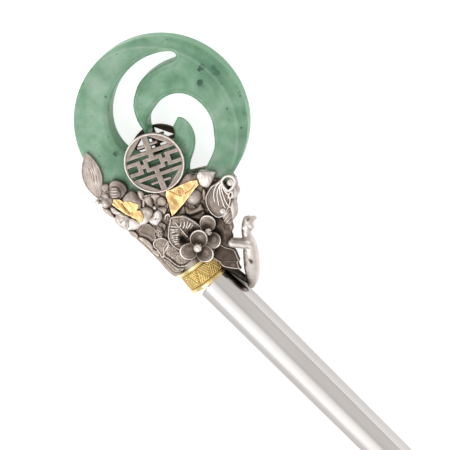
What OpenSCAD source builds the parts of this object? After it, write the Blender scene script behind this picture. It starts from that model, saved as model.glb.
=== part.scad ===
// A binyeo hairpin lying on its back: a carved jade ring in a silver head with pierced roundels, leaves
// and blossoms, a gilt band and a long hollow silver shaft. Millimetres. +Z is up, +X runs along the shaft
// to its tip, and the origin is the middle of the back roundel's back face.

/* [Jade ring] */
// Outer radius of the jade ring
jade_r = 17.6; // [16.5:0.1:19.5]
// Thickness of the jade ring
jade_t = 6; // [5:0.1:7]
// Chamfer round the outer edge of the jade
jade_chamfer = 0.6; // [0.3:0.1:1.4]

/* [Roundels] */
// Radius of each pierced roundel
roundel_r = 6.15; // [5.6:0.05:6.6]
// Thickness of each roundel
roundel_t = 0.95; // [0.6:0.05:1.3]
// Plain rim round the lattice
roundel_rim = 0.6; // [0.4:0.05:1]
// Chamfer on the rim's front edge
roundel_chamfer = 0.2; // [0.1:0.05:0.3]
// Direction of the lattice bars from the shaft's direction, in degrees
fret_angle = 66; // [50:1:80]
// Width of the long slots and of the stubs off them
slot_w = 0.55; // [0.4:0.05:0.7]
// Distance of the long slots from the middle
slot_out = 1.72; // [1.6:0.02:1.9]
// Length of the middle window
window_l = 2.4; // [1.8:0.1:2.8]
// Height of the windows
window_h = 1.2; // [0.8:0.1:1.4]
// Width of the lattice's spine
spine_w = 1.1; // [0.8:0.1:1.4]
// Gap between the jade's front and the front roundel
roundel_lift = 0.95; // [0.95:0.05:1.2]

/* [Setting] */
// Length of the setting's fan, along the shaft
fan_l = 24; // [23:0.1:25]
// Width of the setting's fan, across the shaft
fan_w = 22; // [21:0.1:23]
// Thickness of the back plate
back_plate_t = 0.85; // [0.5:0.05:0.95]
// Thickness of the front plate
front_plate_t = 0.8; // [0.6:0.05:1.2]
// Radius of the solder lug that carries the front roundel
lug_r = 1.1; // [0.8:0.1:1.4]
// Length of the peg inside the shaft
peg_l = 9; // [6:0.5:12]

/* [Gold band] */
// Outer radius of the band at its rims
band_r = 4.75; // [4.6:0.05:5]
// Height of the band along the neck
band_h = 4.95; // [4:0.05:5.5]
// Wall of the band at its rims
band_wall = 0.55; // [0.4:0.05:0.8]
// Width of each plain rim
band_rim_w = 0.85; // [0.5:0.05:1.2]
// How far the rims stand out from the field between them
band_relief = 0.15; // [0.1:0.05:0.25]
// Direction of the band's axis from the shaft's, in degrees
band_angle = -7; // [-12:1:0]

/* [Shaft] */
// Length of the shaft from the band to the tip
shaft_l = 122; // [100:1:140]
// Radius of the shaft at the band
shaft_r = 4.45; // [4:0.05:4.55]
// Radius of the shaft where its round tip begins
shaft_tip_r = 3.7; // [3:0.05:4.2]
// Wall of the hollow shaft
shaft_wall = 0.8; // [0.5:0.05:1.2]
// Length of the round tip
shaft_tip_l = 4.6; // [3:0.1:8]

/* [Leaves] */
// Thickness of a leaf at its midrib and rim
leaf_t = 0.9; // [0.7:0.05:1.1]
// Length of the left leaf
left_leaf_l = 10; // [8.5:0.1:10.5]
// Width of the left leaf
left_leaf_w = 4.2; // [3.4:0.1:4.6]
// Length of the heart leaf
heart_leaf_l = 7.8; // [7:0.1:8]
// Width of the heart leaf
heart_leaf_w = 7; // [6.2:0.1:7.2]
// Length of the lower left leaf
lower_left_leaf_l = 6.2; // [5.4:0.1:6.3]
// Width of the lower left leaf
lower_left_leaf_w = 4.7; // [4:0.1:4.9]
// Length of the right leaf
right_leaf_l = 6.4; // [5.6:0.1:6.8]
// Width of the right leaf
right_leaf_w = 4.1; // [3.4:0.1:4.2]
// Length of the dark leaf
dark_leaf_l = 6.2; // [5.4:0.1:6.4]
// Width of the dark leaf
dark_leaf_w = 3.1; // [2.6:0.1:3.2]
// Length of the broad leaf
broad_leaf_l = 2.6; // [2:0.1:2.7]
// Width of the broad leaf
broad_leaf_w = 2.6; // [2.2:0.1:2.8]
// Length of the small leaf
small_leaf_l = 3.5; // [3:0.1:3.7]
// Width of the small leaf
small_leaf_w = 2.9; // [2.4:0.1:3]
// Length of each leaf strip
strip_l = 4.4; // [3.8:0.1:4.6]
// Width of each leaf strip
strip_w = 1.05; // [0.8:0.05:1.1]
// Length of the pod leaf's upper lobe
pod_leaf_l = 4.2; // [3.6:0.1:4.3]
// Width of the pod leaf's lobes
pod_leaf_w = 2.1; // [1.7:0.1:2.2]

/* [Blossoms and buds] */
// Length of the main blossom's petals
main_petal_l = 3.7; // [3.2:0.1:3.9]
// Width of the main blossom's petals
main_petal_w = 3.5; // [3:0.1:3.6]
// How high the main blossom's petals rise
main_petal_rise = 1.5; // [1.1:0.1:1.8]
// Radius of the bead in the main blossom
main_bead_r = 0.75; // [0.6:0.05:0.9]
// Length of the rear blossom's petals
rear_petal_l = 3.3; // [2.9:0.1:3.4]
// Width of the rear blossom's petals
rear_petal_w = 3.1; // [2.7:0.1:3.2]
// Length of the left blossom's petals
left_petal_l = 3.5; // [3:0.1:3.6]
// Width of the left blossom's petals
left_petal_w = 3; // [2.6:0.1:3.1]
// Length of the small blossom's petals
small_petal_l = 2.3; // [1.9:0.1:2.4]
// Width of the small blossom's petals
small_petal_w = 1.7; // [1.4:0.1:1.8]
// Radius of the bright bud
bright_bud_r = 1.4; // [1.1:0.05:1.45]
// Radius of the dome bud
dome_bud_r = 1.6; // [1.3:0.05:1.65]
// Length of the ribbed bud
ribbed_bud_l = 3.4; // [2.9:0.1:3.5]
// Width of the ribbed bud
ribbed_bud_w = 3.2; // [2.6:0.1:3.3]
// Length of the left bud
left_bud_l = 2.6; // [2.2:0.1:2.7]
// Radius of the bead beside the left bud
left_bead_r = 0.65; // [0.5:0.05:0.7]
// Length of the middle petal
middle_petal_l = 2.3; // [1.9:0.1:2.4]
// Radius of each stamen's grain
stamen_r = 0.55; // [0.4:0.05:0.6]

/* [Gold leaf, pod and twig] */
// Thickness of the gold leaf
gold_t = 0.45; // [0.3:0.05:0.6]
// Length of the right gold leaf's wings
gold_right_l = 8.4; // [7.6:0.1:8.6]
// Length of the left gold leaf's wings
gold_left_l = 3.9; // [3.4:0.1:4.1]
// Length of the filigree pod
pod_l = 7; // [6.2:0.1:7.2]
// Width of the filigree pod
pod_w = 4.4; // [3.8:0.1:4.6]
// Radius of the pod's rim wire
pod_wire_r = 0.3; // [0.22:0.02:0.36]
// Radius of the twig's stem
twig_r = 1.5; // [1.2:0.05:1.6]
// Radius of the bud at the twig's end
twig_bud_r = 1.25; // [1:0.05:1.4]

/* [Hidden] */

// Clearances: between stacked pieces, round the jade in its pocket, round the roundels, in the shaft,
// between the band and the shaft, and between the neck and the leaf before it
stack_gap = 0.06;
jade_gap = 0.12;
roundel_gap = 0.15;
fit_gap = 0.05;
band_gap = 0.08;
neck_gap = 0.15;
// How far a cut runs past the faces that it opens
cut_over = 1;

// Levels, from the floor up
// Middle of the jade ring
jade_at = [-0.267 * jade_r, 0.341 * jade_r];
// Where the band's axis meets the shaft's
elbow_at = [1.05 * fan_l, -0.4523 * fan_w];
jade_z = roundel_t + 0.15;
jade_top = jade_z + jade_t;
bed_z = jade_top + 0.1 + front_plate_t;
front_roundel_z = jade_top + roundel_lift;
low_z = bed_z + stack_gap;
high_z = low_z + leaf_t + 2 * stack_gap;
crown_z = high_z + leaf_t + stack_gap;

// Shaft slope, so that the band and the shaft's tip both touch the floor
shaft_slope = asin((band_r - shaft_tip_r) / (shaft_l - shaft_tip_l));
neck_r = band_r - band_wall - fit_gap;
ball_fn = 10;
petal_fn = 14;
fine_fn = 32;

// Swirl opening of the jade, as smooth stretches between its pointed ends.
// Each row is a share of the jade's radius and a direction in degrees, about the jade's middle.
SWIRL = [
    [[0.777, 120.3], [0.83, 120.6], [0.853, 123.5], [0.84, 130.5], [0.8, 141.6], [0.753, 154.7], [0.694, 170.6],
     [0.654, 186.3], [0.62, 202], [0.596, 217.6], [0.576, 233.8], [0.556, 248], [0.523, 268], [0.449, 297.5],
     [0.379, 313.5], [0.305, 331], [0.25, 352], [0.216, 367], [0.176, 384], [0.125, 403]],
    [[0.125, 403], [0.177, 409.8], [0.241, 401.1], [0.308, 391], [0.375, 381.1], [0.436, 371], [0.489, 361.5],
     [0.541, 352.3], [0.598, 344.5], [0.68, 341.5], [0.836, 341.5]],
    [[0.836, 341.5], [0.735, 357], [0.68, 380], [0.625, 395], [0.592, 411.4], [0.543, 429], [0.475, 450.5],
     [0.394, 469.8], [0.295, 489.1], [0.228, 503.9], [0.171, 526], [0.163, 558.6], [0.152, 587.5],
     [0.155, 607.4], [0.177, 627], [0.27, 644.6]],
    [[0.27, 644.6], [0.222, 630], [0.203, 609], [0.23, 596], [0.3, 567.8], [0.383, 548.7], [0.448, 534],
     [0.531, 520.6], [0.6, 506.3], [0.666, 494.5], [0.739, 483.7], [0.777, 480.3]],
];

// Outline of the setting's front, as shares of the fan's length and width from the origin
FAN_FRONT = [[-0.05, -0.645], [0.25, -0.645], [0.55, -0.642], [0.82, -0.638], [0.86, -0.44], [0.87, -0.24],
    [0.89, -0.1], [0.8, 0.1], [0.7, 0.24], [0.6, 0.35], [0.5, 0.335], [0.38, 0.22], [0.27, 0.08],
    [0.2, -0.15], [0.08, -0.36], [-0.06, -0.43], [-0.09, -0.56]];
// Outline of the setting's back, in the same shares
FAN_BACK = [[-0.05, -0.645], [0.25, -0.645], [0.55, -0.642], [0.82, -0.638], [0.86, -0.44], [0.87, -0.24],
    [0.89, -0.1], [0.8, 0.1], [0.7, 0.24], [0.58, 0.35], [0.44, 0.36], [0.34, 0.22], [0.25, 0.05],
    [0.14, -0.2], [0.02, -0.34], [-0.1, -0.44], [-0.11, -0.56]];

// Places of the ornaments, as shares of the fan's length and width, with their directions in degrees
left_leaf_at = [-0.0979, -0.6295, 149];
heart_leaf_at = [0.7542, -0.2727, 176];
lower_left_leaf_at = [0.7958, -0.4045, -163];
right_leaf_at = [0.8708, -0.2091, 19];
dark_leaf_at = [0.925, -0.0545, 145];
broad_leaf_at = [0.325, -0.5591, 21];
small_leaf_at = [0.4292, 0.1636, 125];
strip_places = [[0.4333, -0.1773, 58], [0.5, -0.2045, 66]];
pod_leaf_at = [0.5417, 0.4182, -39];
pod_leaf_low_at = [0.65, 0.3364, -54];
main_blossom_at = [0.7542, -0.2432];
rear_blossom_at = [0.725, -0.0864];
left_blossom_at = [0.1604, -0.5159];
small_blossom_at = [0.2583, -0.2909];
bright_bud_at = [0.3417, -0.3591];
dome_bud_at = [0.4375, 0.0205];
ribbed_bud_at = [-0.0542, -0.4364, 62];
left_bud_at = [-0.0396, -0.6045, 50];
// The middle petal lies beside the front roundel's edge
middle_petal_at = [0.992 * roundel_r / fan_l, 0.317 * roundel_r / fan_w, 35];
stamens_at = [0.4708, -0.4318];
sprig_at = [0.4062, -0.2818];
gold_right_at = [0.35, -0.0545];
gold_left_at = [0.1542, -0.5068];
pod_at = [0.5708, 0.1841, -57];

// The value at a share t of the way between the middle two of four knots, on a smooth curve
function blend4(a, b, c, d, t) = 0.5 * (2 * b + (c - a) * t + (2 * a - 5 * b + 4 * c - d) * t * t
    + (3 * b - a - 3 * c + d) * t * t * t);
function knot(k, i) = k[max(0, min(len(k) - 1, i))];
function looped(k, i) = k[(i + len(k)) % len(k)];
// An open smooth curve through knots, without its last point
function open_curve(k, steps) = [for (i = [0:len(k) - 2], s = [0:steps - 1])
    blend4(knot(k, i - 1), k[i], k[i + 1], knot(k, i + 2), s / steps)];
// A closed smooth curve through knots
function closed_curve(k, steps) = [for (i = [0:len(k) - 1], s = [0:steps - 1])
    blend4(looped(k, i - 1), k[i], looped(k, i + 1), looped(k, i + 2), s / steps)];
function from_polar(p, r) = [p[0] * r * cos(p[1]), p[0] * r * sin(p[1])];
function swirl_points() = [for (part = SWIRL)
    each open_curve([for (p = part) from_polar(p, jade_r)], 3)];
function fan_points(shares) = closed_curve([for (p = shares) [p[0] * fan_l, p[1] * fan_w]], 3);

// A closed solid through equal rings of points, with a middle point on each end
module loft(rings) {
    n = len(rings[0]);
    last = len(rings) - 1;
    first_mid = len(rings) * n;
    points = [for (ring = rings) each ring];
    mids = [for (ring = [rings[0], rings[last]]) [for (k = [0:2]) [for (p = ring) p[k]] * [for (p = ring) 1] / n]];
    polyhedron(concat(points, mids), concat(
        [for (i = [0:last - 1], j = [0:n - 1]) [i * n + j, i * n + (j + 1) % n, (i + 1) * n + j]],
        [for (i = [0:last - 1], j = [0:n - 1]) [i * n + (j + 1) % n, (i + 1) * n + (j + 1) % n, (i + 1) * n + j]],
        [for (j = [0:n - 1]) [first_mid, (j + 1) % n, j]],
        [for (j = [0:n - 1]) [first_mid + 1, last * n + j, last * n + (j + 1) % n]]));
}

// Half of a leaf's width at the share t of its length. A small belly puts the widest place near the root.
function leaf_half(t, wid, belly) = max(0.15, wid / 2 * pow(sin(180 * pow(t, belly)), 0.8));
// A leaf's section at one place, seen from its root: flat below, with raised rims and a raised midrib
LEAF_SECTION = [[1, 0], [1, 0.8], [0.84, 1], [0.45, 0.55], [0, 0.95], [-0.45, 0.55], [-0.84, 1], [-1, 0.8],
    [-1, 0], [0, 0]];
LEAF_STATIONS = [0.02, 0.12, 0.26, 0.4, 0.55, 0.7, 0.84, 0.94, 0.985];
// A leaf along X from its root
module leaf(length, wid, belly = 1, bend = 0, thick = leaf_t) {
    loft([for (t = LEAF_STATIONS) [for (s = LEAF_SECTION) [t * length,
        s[0] * leaf_half(t, wid, belly) + 4 * bend * length * t * (1 - t), s[1] * thick]]]);
}

// A plain domed leaf along X from its root, bent sideways by a share of its length
module blade(length, wid, bend) {
    stations = [0.06, 0.3, 0.55, 0.8, 0.96];
    for (i = [0:3]) hull() for (t = [stations[i], stations[i + 1]])
        translate([t * length, 4 * bend * length * t * (1 - t), 0])
            scale([0.4, 1, 1]) cylinder(r1 = leaf_half(t, wid, 1), r2 = leaf_half(t, wid, 1) * 0.6,
                h = leaf_t * (0.6 + 0.4 * sin(180 * t)), $fn = 10);
}

// Puts a piece at a place given as shares of the fan's length and width
module place(at, z) {
    translate([at[0] * fan_l, at[1] * fan_w, z]) rotate([0, 0, len(at) > 2 ? at[2] : 0]) children();
}

module oval(l, w, h, fn = petal_fn) scale([l / 2, w / 2, 1]) cylinder(r = 1, h = h, $fn = fn);

// A cupped petal along X from its root
module petal(length, wid, rise, fn = petal_fn) {
    rim = 0.28;
    difference() {
        hull() {
            translate([length * 0.5, 0, rise * 0.7]) oval(length, wid, rise * 0.3, fn);
            translate([length * 0.42, 0, 0]) oval(length * 0.55, wid * 0.55, 0.1, fn);
        }
        hull() {
            translate([length * 0.5, 0, rise * 0.98]) oval(length - 2 * rim, wid - 2 * rim, rise, fn);
            translate([length * 0.48, 0, rise * 0.5]) oval(length * 0.4, wid * 0.4, rise, fn);
        }
    }
}

// Petals round a middle. Each row is a direction and shares of the length and the width.
module petals(rows, length, wid, rise, start, fn = petal_fn) {
    for (row = rows)
        rotate([0, 0, row[0]]) translate([start, 0, 0]) petal(length * row[1], wid * row[2], rise, fn);
}

// A round-topped bud on a flat base, along X
module bud(length, wid, h, fn = petal_fn) {
    hull() {
        oval(length * 0.86, wid * 0.86, 0.1, fn);
        translate([0, 0, h * 0.35]) oval(length, wid, 0.1, fn);
        translate([0, 0, h * 0.75]) oval(length * 0.72, wid * 0.72, 0.05, fn);
        translate([0, 0, h - 0.06]) oval(length * 0.3, wid * 0.3, 0.06, fn);
    }
}

module ball(r, fn = ball_fn) hull() sphere(r = r, $fn = fn);

// A round bar between two points with a radius at each end
module bar(a, b, ra, rb, fn = 8) {
    hull() {
        translate(a) sphere(r = ra, $fn = fn);
        translate(b) sphere(r = rb, $fn = fn);
    }
}

// Bars through points with one radius
module wire(points, r, fn = 6) {
    for (i = [0:len(points) - 2]) bar(points[i], points[i + 1], r, r, fn);
}

// A thin facet of foil through its corners, each with its own height
module foil(corners, thick) {
    hull() for (c = corners) translate([c[0], c[1], c[2]]) cylinder(r = 0.17, h = thick, $fn = 7);
}

module jade_ring() color([0.5, 0.68, 0.56]) {
    r_in = jade_r - jade_chamfer;
    translate([jade_at[0], jade_at[1], jade_z]) difference() {
        rotate_extrude($fn = 160) polygon([[0, 0], [r_in, 0], [jade_r, jade_chamfer],
            [jade_r, jade_t - jade_chamfer], [r_in, jade_t], [0, jade_t]]);
        translate([0, 0, -cut_over]) linear_extrude(jade_t + 2 * cut_over) polygon(swirl_points());
    }
}

// The lattice's openings in one quarter, mirrored to all four
module fret_quarter() {
    slot_in = spine_w / 2;
    stub_at = roundel_r * 0.38;
    corner_in = slot_out + slot_w / 2 + 0.85;
    translate([slot_in, slot_out - slot_w / 2]) square([roundel_r, slot_w]);
    translate([stub_at - slot_w / 2, slot_out - 1.25]) square([slot_w, 1.25]);
    // A three-sided opening beside the spine, with a short bar across it
    difference() {
        polygon([[slot_in + 0.1, corner_in], [roundel_r * 0.68, corner_in], [slot_in + 0.1, roundel_r * 0.93]]);
        translate([slot_in, corner_in + 0.78]) square([1.6, 0.48]);
    }
}

module fret(with_window) {
    intersection() {
        circle(r = roundel_r - roundel_rim, $fn = 96);
        union() {
            if (with_window) square([window_l, window_h], center = true);
            for (side = [-1, 1]) translate([side * roundel_r * 0.745, 0])
                square([1.95, window_h], center = true);
            for (a = [0, 1], b = [0, 1]) mirror([a, 0]) mirror([0, b]) fret_quarter();
        }
    }
}

module roundel(with_window) {
    r_top = roundel_r - roundel_chamfer;
    difference() {
        rotate_extrude($fn = 96) polygon([[0, 0], [roundel_r, 0], [roundel_r, roundel_t - roundel_chamfer],
            [r_top, roundel_t], [0, roundel_t]]);
        rotate([0, 0, fret_angle]) translate([0, 0, -cut_over]) linear_extrude(roundel_t + 2 * cut_over)
            fret(with_window);
    }
}

module front_roundel() color([0.72, 0.68, 0.65]) translate([0, 0, front_roundel_z]) roundel(true);

// The jade hides the back roundel's middle, which stays whole
module back_roundel() color([0.4, 0.38, 0.36]) roundel(false);

// Frames along the band's axis and along the shaft's, from the elbow
module on_band() {
    translate([elbow_at[0], elbow_at[1], band_r]) rotate([0, 0, band_angle]) rotate([0, 90, 0]) children();
}
module on_shaft() {
    translate([elbow_at[0], elbow_at[1], band_r]) rotate([0, 90 + shaft_slope, 0]) children();
}

module setting() color([0.4, 0.38, 0.36]) {
    body_top = bed_z - front_plate_t;
    // The lug stands at the fan's edge under the front roundel
    fan_edge = FAN_FRONT[13];
    // The neck reaches into the fan as far as the lower left leaf's root
    neck_l = elbow_at[0] - lower_left_leaf_at[0] * fan_l - neck_gap;
    difference() {
        union() {
            translate([0, 0, 0.1]) linear_extrude(back_plate_t) polygon(fan_points(FAN_BACK));
            translate([0, 0, 0.1]) linear_extrude(bed_z - 0.1) polygon(fan_points(FAN_FRONT));
            translate([fan_edge[0] * fan_l - 0.78, fan_edge[1] * fan_w - 0.075, body_top]) rotate([0, 0, -40])
                cylinder(r = lug_r, h = front_roundel_z - stack_gap - body_top, $fn = fine_fn);
        }
        translate([jade_at[0], jade_at[1], jade_z - jade_gap])
            cylinder(r = jade_r + jade_gap, h = jade_t + 2 * jade_gap - 0.04, $fn = 160);
        translate([0, 0, -cut_over])
            cylinder(r = roundel_r + roundel_gap, h = roundel_t + cut_over + stack_gap, $fn = 96);
        on_band() translate([0, 0, -band_h - stack_gap])
            cylinder(r = 2 * band_r, h = 2 * band_h, $fn = 96);
    }
    on_band() translate([0, 0, -neck_l]) cylinder(r = neck_r, h = neck_l, $fn = 96);
    on_shaft() cylinder(r1 = shaft_r - shaft_wall - fit_gap, h = peg_l, $fn = 96,
        r2 = shaft_r - shaft_wall - fit_gap - peg_l * (shaft_r - shaft_tip_r) / (shaft_l - shaft_tip_l));
}

module gold_band() color([0.93, 0.79, 0.4]) {
    inner = band_r - band_wall;
    field = band_r - band_relief;
    on_band() translate([0, 0, -band_h]) rotate_extrude($fn = 96) polygon([[inner, 0], [band_r, 0],
        [band_r, band_rim_w], [field, band_rim_w], [field, band_h - band_rim_w],
        [band_r, band_h - band_rim_w], [band_r, band_h], [inner, band_h]]);
}

// The shaft's outline from the band to the middle of its round tip, a wall's thickness in from the outside
function shaft_side(wall) = [
    [0, -2], [shaft_r - wall, -2], [shaft_r - wall, 0], [shaft_tip_r - wall, shaft_l - shaft_tip_l],
    each [for (a = [11.25:11.25:78.75]) [(shaft_tip_r - wall) * cos(a),
        shaft_l - shaft_tip_l + (shaft_tip_l - wall) * sin(a)]],
    [0, shaft_l - wall]];

module shaft() color([0.86, 0.85, 0.84]) difference() {
    on_shaft() difference() {
        rotate_extrude($fn = 96) polygon(shaft_side(0));
        rotate_extrude($fn = 96) polygon(shaft_side(shaft_wall));
    }
    on_band() translate([0, 0, -2 * band_h]) cylinder(r = 2 * band_r, h = 2 * band_h + band_gap, $fn = 96);
}

module left_leaf() color([0.7, 0.66, 0.63])
    place(left_leaf_at, jade_top + 0.15) leaf(left_leaf_l, left_leaf_w, 1, 0.02);

module heart_leaf() color([0.6, 0.56, 0.52])
    place(heart_leaf_at, high_z) leaf(heart_leaf_l, heart_leaf_w, 0.66);

module lower_left_leaf() color([0.5, 0.46, 0.43])
    place(lower_left_leaf_at, low_z) leaf(lower_left_leaf_l, lower_left_leaf_w, 0.85);

module right_leaf() color([0.42, 0.38, 0.35])
    place(right_leaf_at, low_z) leaf(right_leaf_l, right_leaf_w, 0.95);

module dark_leaf() color([0.35, 0.33, 0.3])
    place(dark_leaf_at, low_z) leaf(dark_leaf_l, dark_leaf_w, 1);

module broad_leaf() color([0.5, 0.47, 0.44])
    place(broad_leaf_at, low_z) leaf(broad_leaf_l, broad_leaf_w, 1);

module small_leaf() color([0.78, 0.75, 0.72])
    place(small_leaf_at, low_z) leaf(small_leaf_l, small_leaf_w, 1.2);

module leaf_strips() color([0.45, 0.42, 0.42]) {
    for (at = strip_places) place(at, low_z) blade(strip_l, strip_w, -0.08);
    ends = [for (at = strip_places) [at[0] * fan_l + strip_l * 0.06, at[1] * fan_w + strip_l * 0.11, low_z + 0.3]];
    bar(ends[0], ends[1], 0.3, 0.28, 6);
}

module pod_leaf() color([0.72, 0.7, 0.68]) {
    place(pod_leaf_at, low_z) blade(pod_leaf_l, pod_leaf_w, 0.06);
    place(pod_leaf_low_at, low_z) blade(pod_leaf_l * 1.3, pod_leaf_w, 0.06);
}

MAIN_PETALS = [[128, 1, 1], [-112, 1, 0.95], [8, 0.95, 0.97]];
module main_blossom() color([0.62, 0.58, 0.55]) place(main_blossom_at, crown_z) {
    petals(MAIN_PETALS, main_petal_l, main_petal_w, main_petal_rise, 0.1);
    bud(2.2, 2.2, main_petal_rise * 0.6);
    translate([0, 0, main_petal_rise]) ball(main_bead_r);
}

REAR_PETALS = [[139, 1, 1], [-15, 1, 1]];
module rear_blossom() color([0.58, 0.54, 0.51]) place(rear_blossom_at, high_z) {
    petals(REAR_PETALS, rear_petal_l, rear_petal_w, leaf_t, 0.15);
    bud(1.4, 1, leaf_t);
    for (x = [-0.5, 0, 0.5]) translate([x, -0.3, leaf_t * 0.5]) ball(0.35, 8);
}

LEFT_PETALS = [[190, 0.8, 1], [124, 1, 0.95], [40, 1, 1.05], [-100, 0.75, 0.85], [-42, 0.85, 1.2]];
module left_blossom() color([0.58, 0.55, 0.53]) place(left_blossom_at, low_z) {
    petals(LEFT_PETALS, left_petal_l, left_petal_w, leaf_t, -0.1, 12);
    bud(1.8, 1.8, leaf_t);
}

SMALL_PETALS = [[186, 1, 1], [90, 1, 1], [30, 0.9, 1]];
module small_blossom() color([0.42, 0.4, 0.42]) place(small_blossom_at, low_z) {
    petals(SMALL_PETALS, small_petal_l, small_petal_w, leaf_t, 0.2, 10);
    for (x = [-0.45, 0.05, 0.5]) translate([x, 0.1, leaf_t * 0.5]) ball(0.4, 8);
}

module bright_bud() color([0.85, 0.82, 0.8]) place(bright_bud_at, low_z) {
    bud(2 * bright_bud_r, 2 * bright_bud_r, bright_bud_r * 1.3);
}

module dome_bud() color([0.68, 0.65, 0.6]) place(dome_bud_at, low_z) {
    bud(2 * dome_bud_r, 2 * dome_bud_r, leaf_t);
}

module ribbed_bud() color([0.6, 0.56, 0.54]) place(ribbed_bud_at, low_z) {
    bud(ribbed_bud_l, ribbed_bud_w, leaf_t * 1.2);
    for (x = [-0.9:0.6:0.9], side = [-1, 1])
        bar([x, side * ribbed_bud_w * 0.28, leaf_t * 0.8], [x, 0, leaf_t * 1.1], 0.18, 0.2, 6);
}

module left_buds() color([0.6, 0.57, 0.55]) place(left_bud_at, low_z) {
    bud(left_bud_l, left_bud_l * 0.75, leaf_t * 1.1);
    translate([0.1, -1.9, 0]) bud(left_bud_l * 0.75, left_bud_l * 0.6, leaf_t);
    translate([-1.75, 0, left_bead_r]) ball(left_bead_r);
    bar([-1.75, 0, left_bead_r * 0.7], [-0.8, 0, left_bead_r * 0.7], 0.3, 0.3);
    bar([0, -1.2, 0.35], [0, -0.7, 0.35], 0.3, 0.3);
    for (x = [-0.5:0.5:0.5]) translate([x, -2.1, leaf_t * 0.75]) ball(0.3, 6);
}

module middle_petal() color([0.5, 0.47, 0.47]) place(middle_petal_at, low_z) {
    petal(middle_petal_l, middle_petal_l * 0.8, leaf_t);
}

module stamens() color([0.55, 0.48, 0.42]) place(stamens_at, low_z) {
    bud(2.3, 2.3, leaf_t * 0.6);
    for (a = [5:72:300]) rotate([0, 0, a]) translate([0.86, 0, leaf_t * 0.55]) ball(stamen_r, 8);
    translate([0.03, 0.02, leaf_t * 0.8]) ball(stamen_r, 8);
    for (a = [41:120:300]) rotate([0, 0, a]) translate([0.5, 0, leaf_t * 0.66]) ball(stamen_r * 0.8, 8);
}

SPRIG_TURN = [for (a = [0:50:300]) [0.62 * cos(a), 0.62 * sin(a), 0.3 + a / 1500]];
module sprig() color([0.5, 0.46, 0.44]) place(sprig_at, low_z) {
    wire(SPRIG_TURN, 0.28, 8);
    translate([0, 0, 0.4]) ball(0.35, 8);
    translate([0, 0, 0.02]) bud(1.4, 1.4, 0.3);
}

// Corners of the gold leaf's facets, as shares of its length, with heights as shares of its thickness
GOLD_RIGHT = [
    [[0, 0.6, 0], [0.11, 0.53, 0.3], [0.13, 0.18, 0.6], [-0.11, 0.46, 0]],
    [[-0.11, 0.46, 0], [0.13, 0.18, 0.6], [-0.26, 0.2, 0], [0.02, 0, 1.2]],
    [[-0.26, 0.2, 0], [0.02, 0, 1.2], [-0.33, -0.14, 0], [-0.15, -0.25, 0.5]],
    [[0.13, 0.18, 0.6], [0.15, 0.06, 0], [0.02, 0, 1.2], [0.21, -0.15, 0.3]],
    [[0.02, 0, 1.2], [0.21, -0.15, 0.3], [-0.15, -0.25, 0.5], [0.06, -0.38, 0]],
];
module gold_leaf_right() color([0.95, 0.78, 0.45])
    place(gold_right_at, high_z) {
    for (facet = GOLD_RIGHT) foil([for (c = facet)
        [c[0] * gold_right_l, c[1] * gold_right_l, c[2] * gold_t]], gold_t);
    translate([-0.2, -1.9, gold_t * 0.9]) bud(1.4, 0.8, gold_t * 1.4, 10);
    for (a = [10:72:300]) translate([-0.8 + 0.5 * cos(a), 0.9 + 0.5 * sin(a), gold_t * 1.2]) ball(0.3, 8);
}

GOLD_LEFT = [
    [[0, 0, 0.4], [-0.5, 0.18, 0], [-1.08, -0.06, 0.3], [-0.85, -0.35, 0]],
    [[0, 0, 0.4], [-0.5, 0.18, 0], [-0.08, -0.18, 0], [-0.85, -0.35, 0]],
    [[0, 0, 0.4], [-0.5, 0.2, 0.5], [-0.17, 0.57, 0.3], [0.1, 0.2, 0.2]],
    [[0.05, 0.67, 0], [-0.17, 0.57, 0.3], [0.2, 0.34, 0.3], [0.1, 0.1, 0.4]],
    [[0.2, -0.02, 0.4], [0.18, 0.3, 0], [0.45, 0.5, 0.2], [0.65, 0.4, 0]],
    [[0.2, -0.02, 0.4], [0.65, 0.4, 0], [0.84, 0.16, 0.3], [0.42, -0.08, 0]],
];
module gold_leaf_left() color([0.95, 0.78, 0.45])
    place(gold_left_at, high_z) {
    for (facet = GOLD_LEFT) foil([for (c = facet)
        [c[0] * gold_left_l, c[1] * gold_left_l, c[2] * gold_t]], gold_t);
    translate([0.1, 0, gold_t]) ball(0.4, 8);
    bar([0.1, 0, 0.3], [1, 0.1, 0.3], 0.28, 0.28, 6);
}

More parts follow.
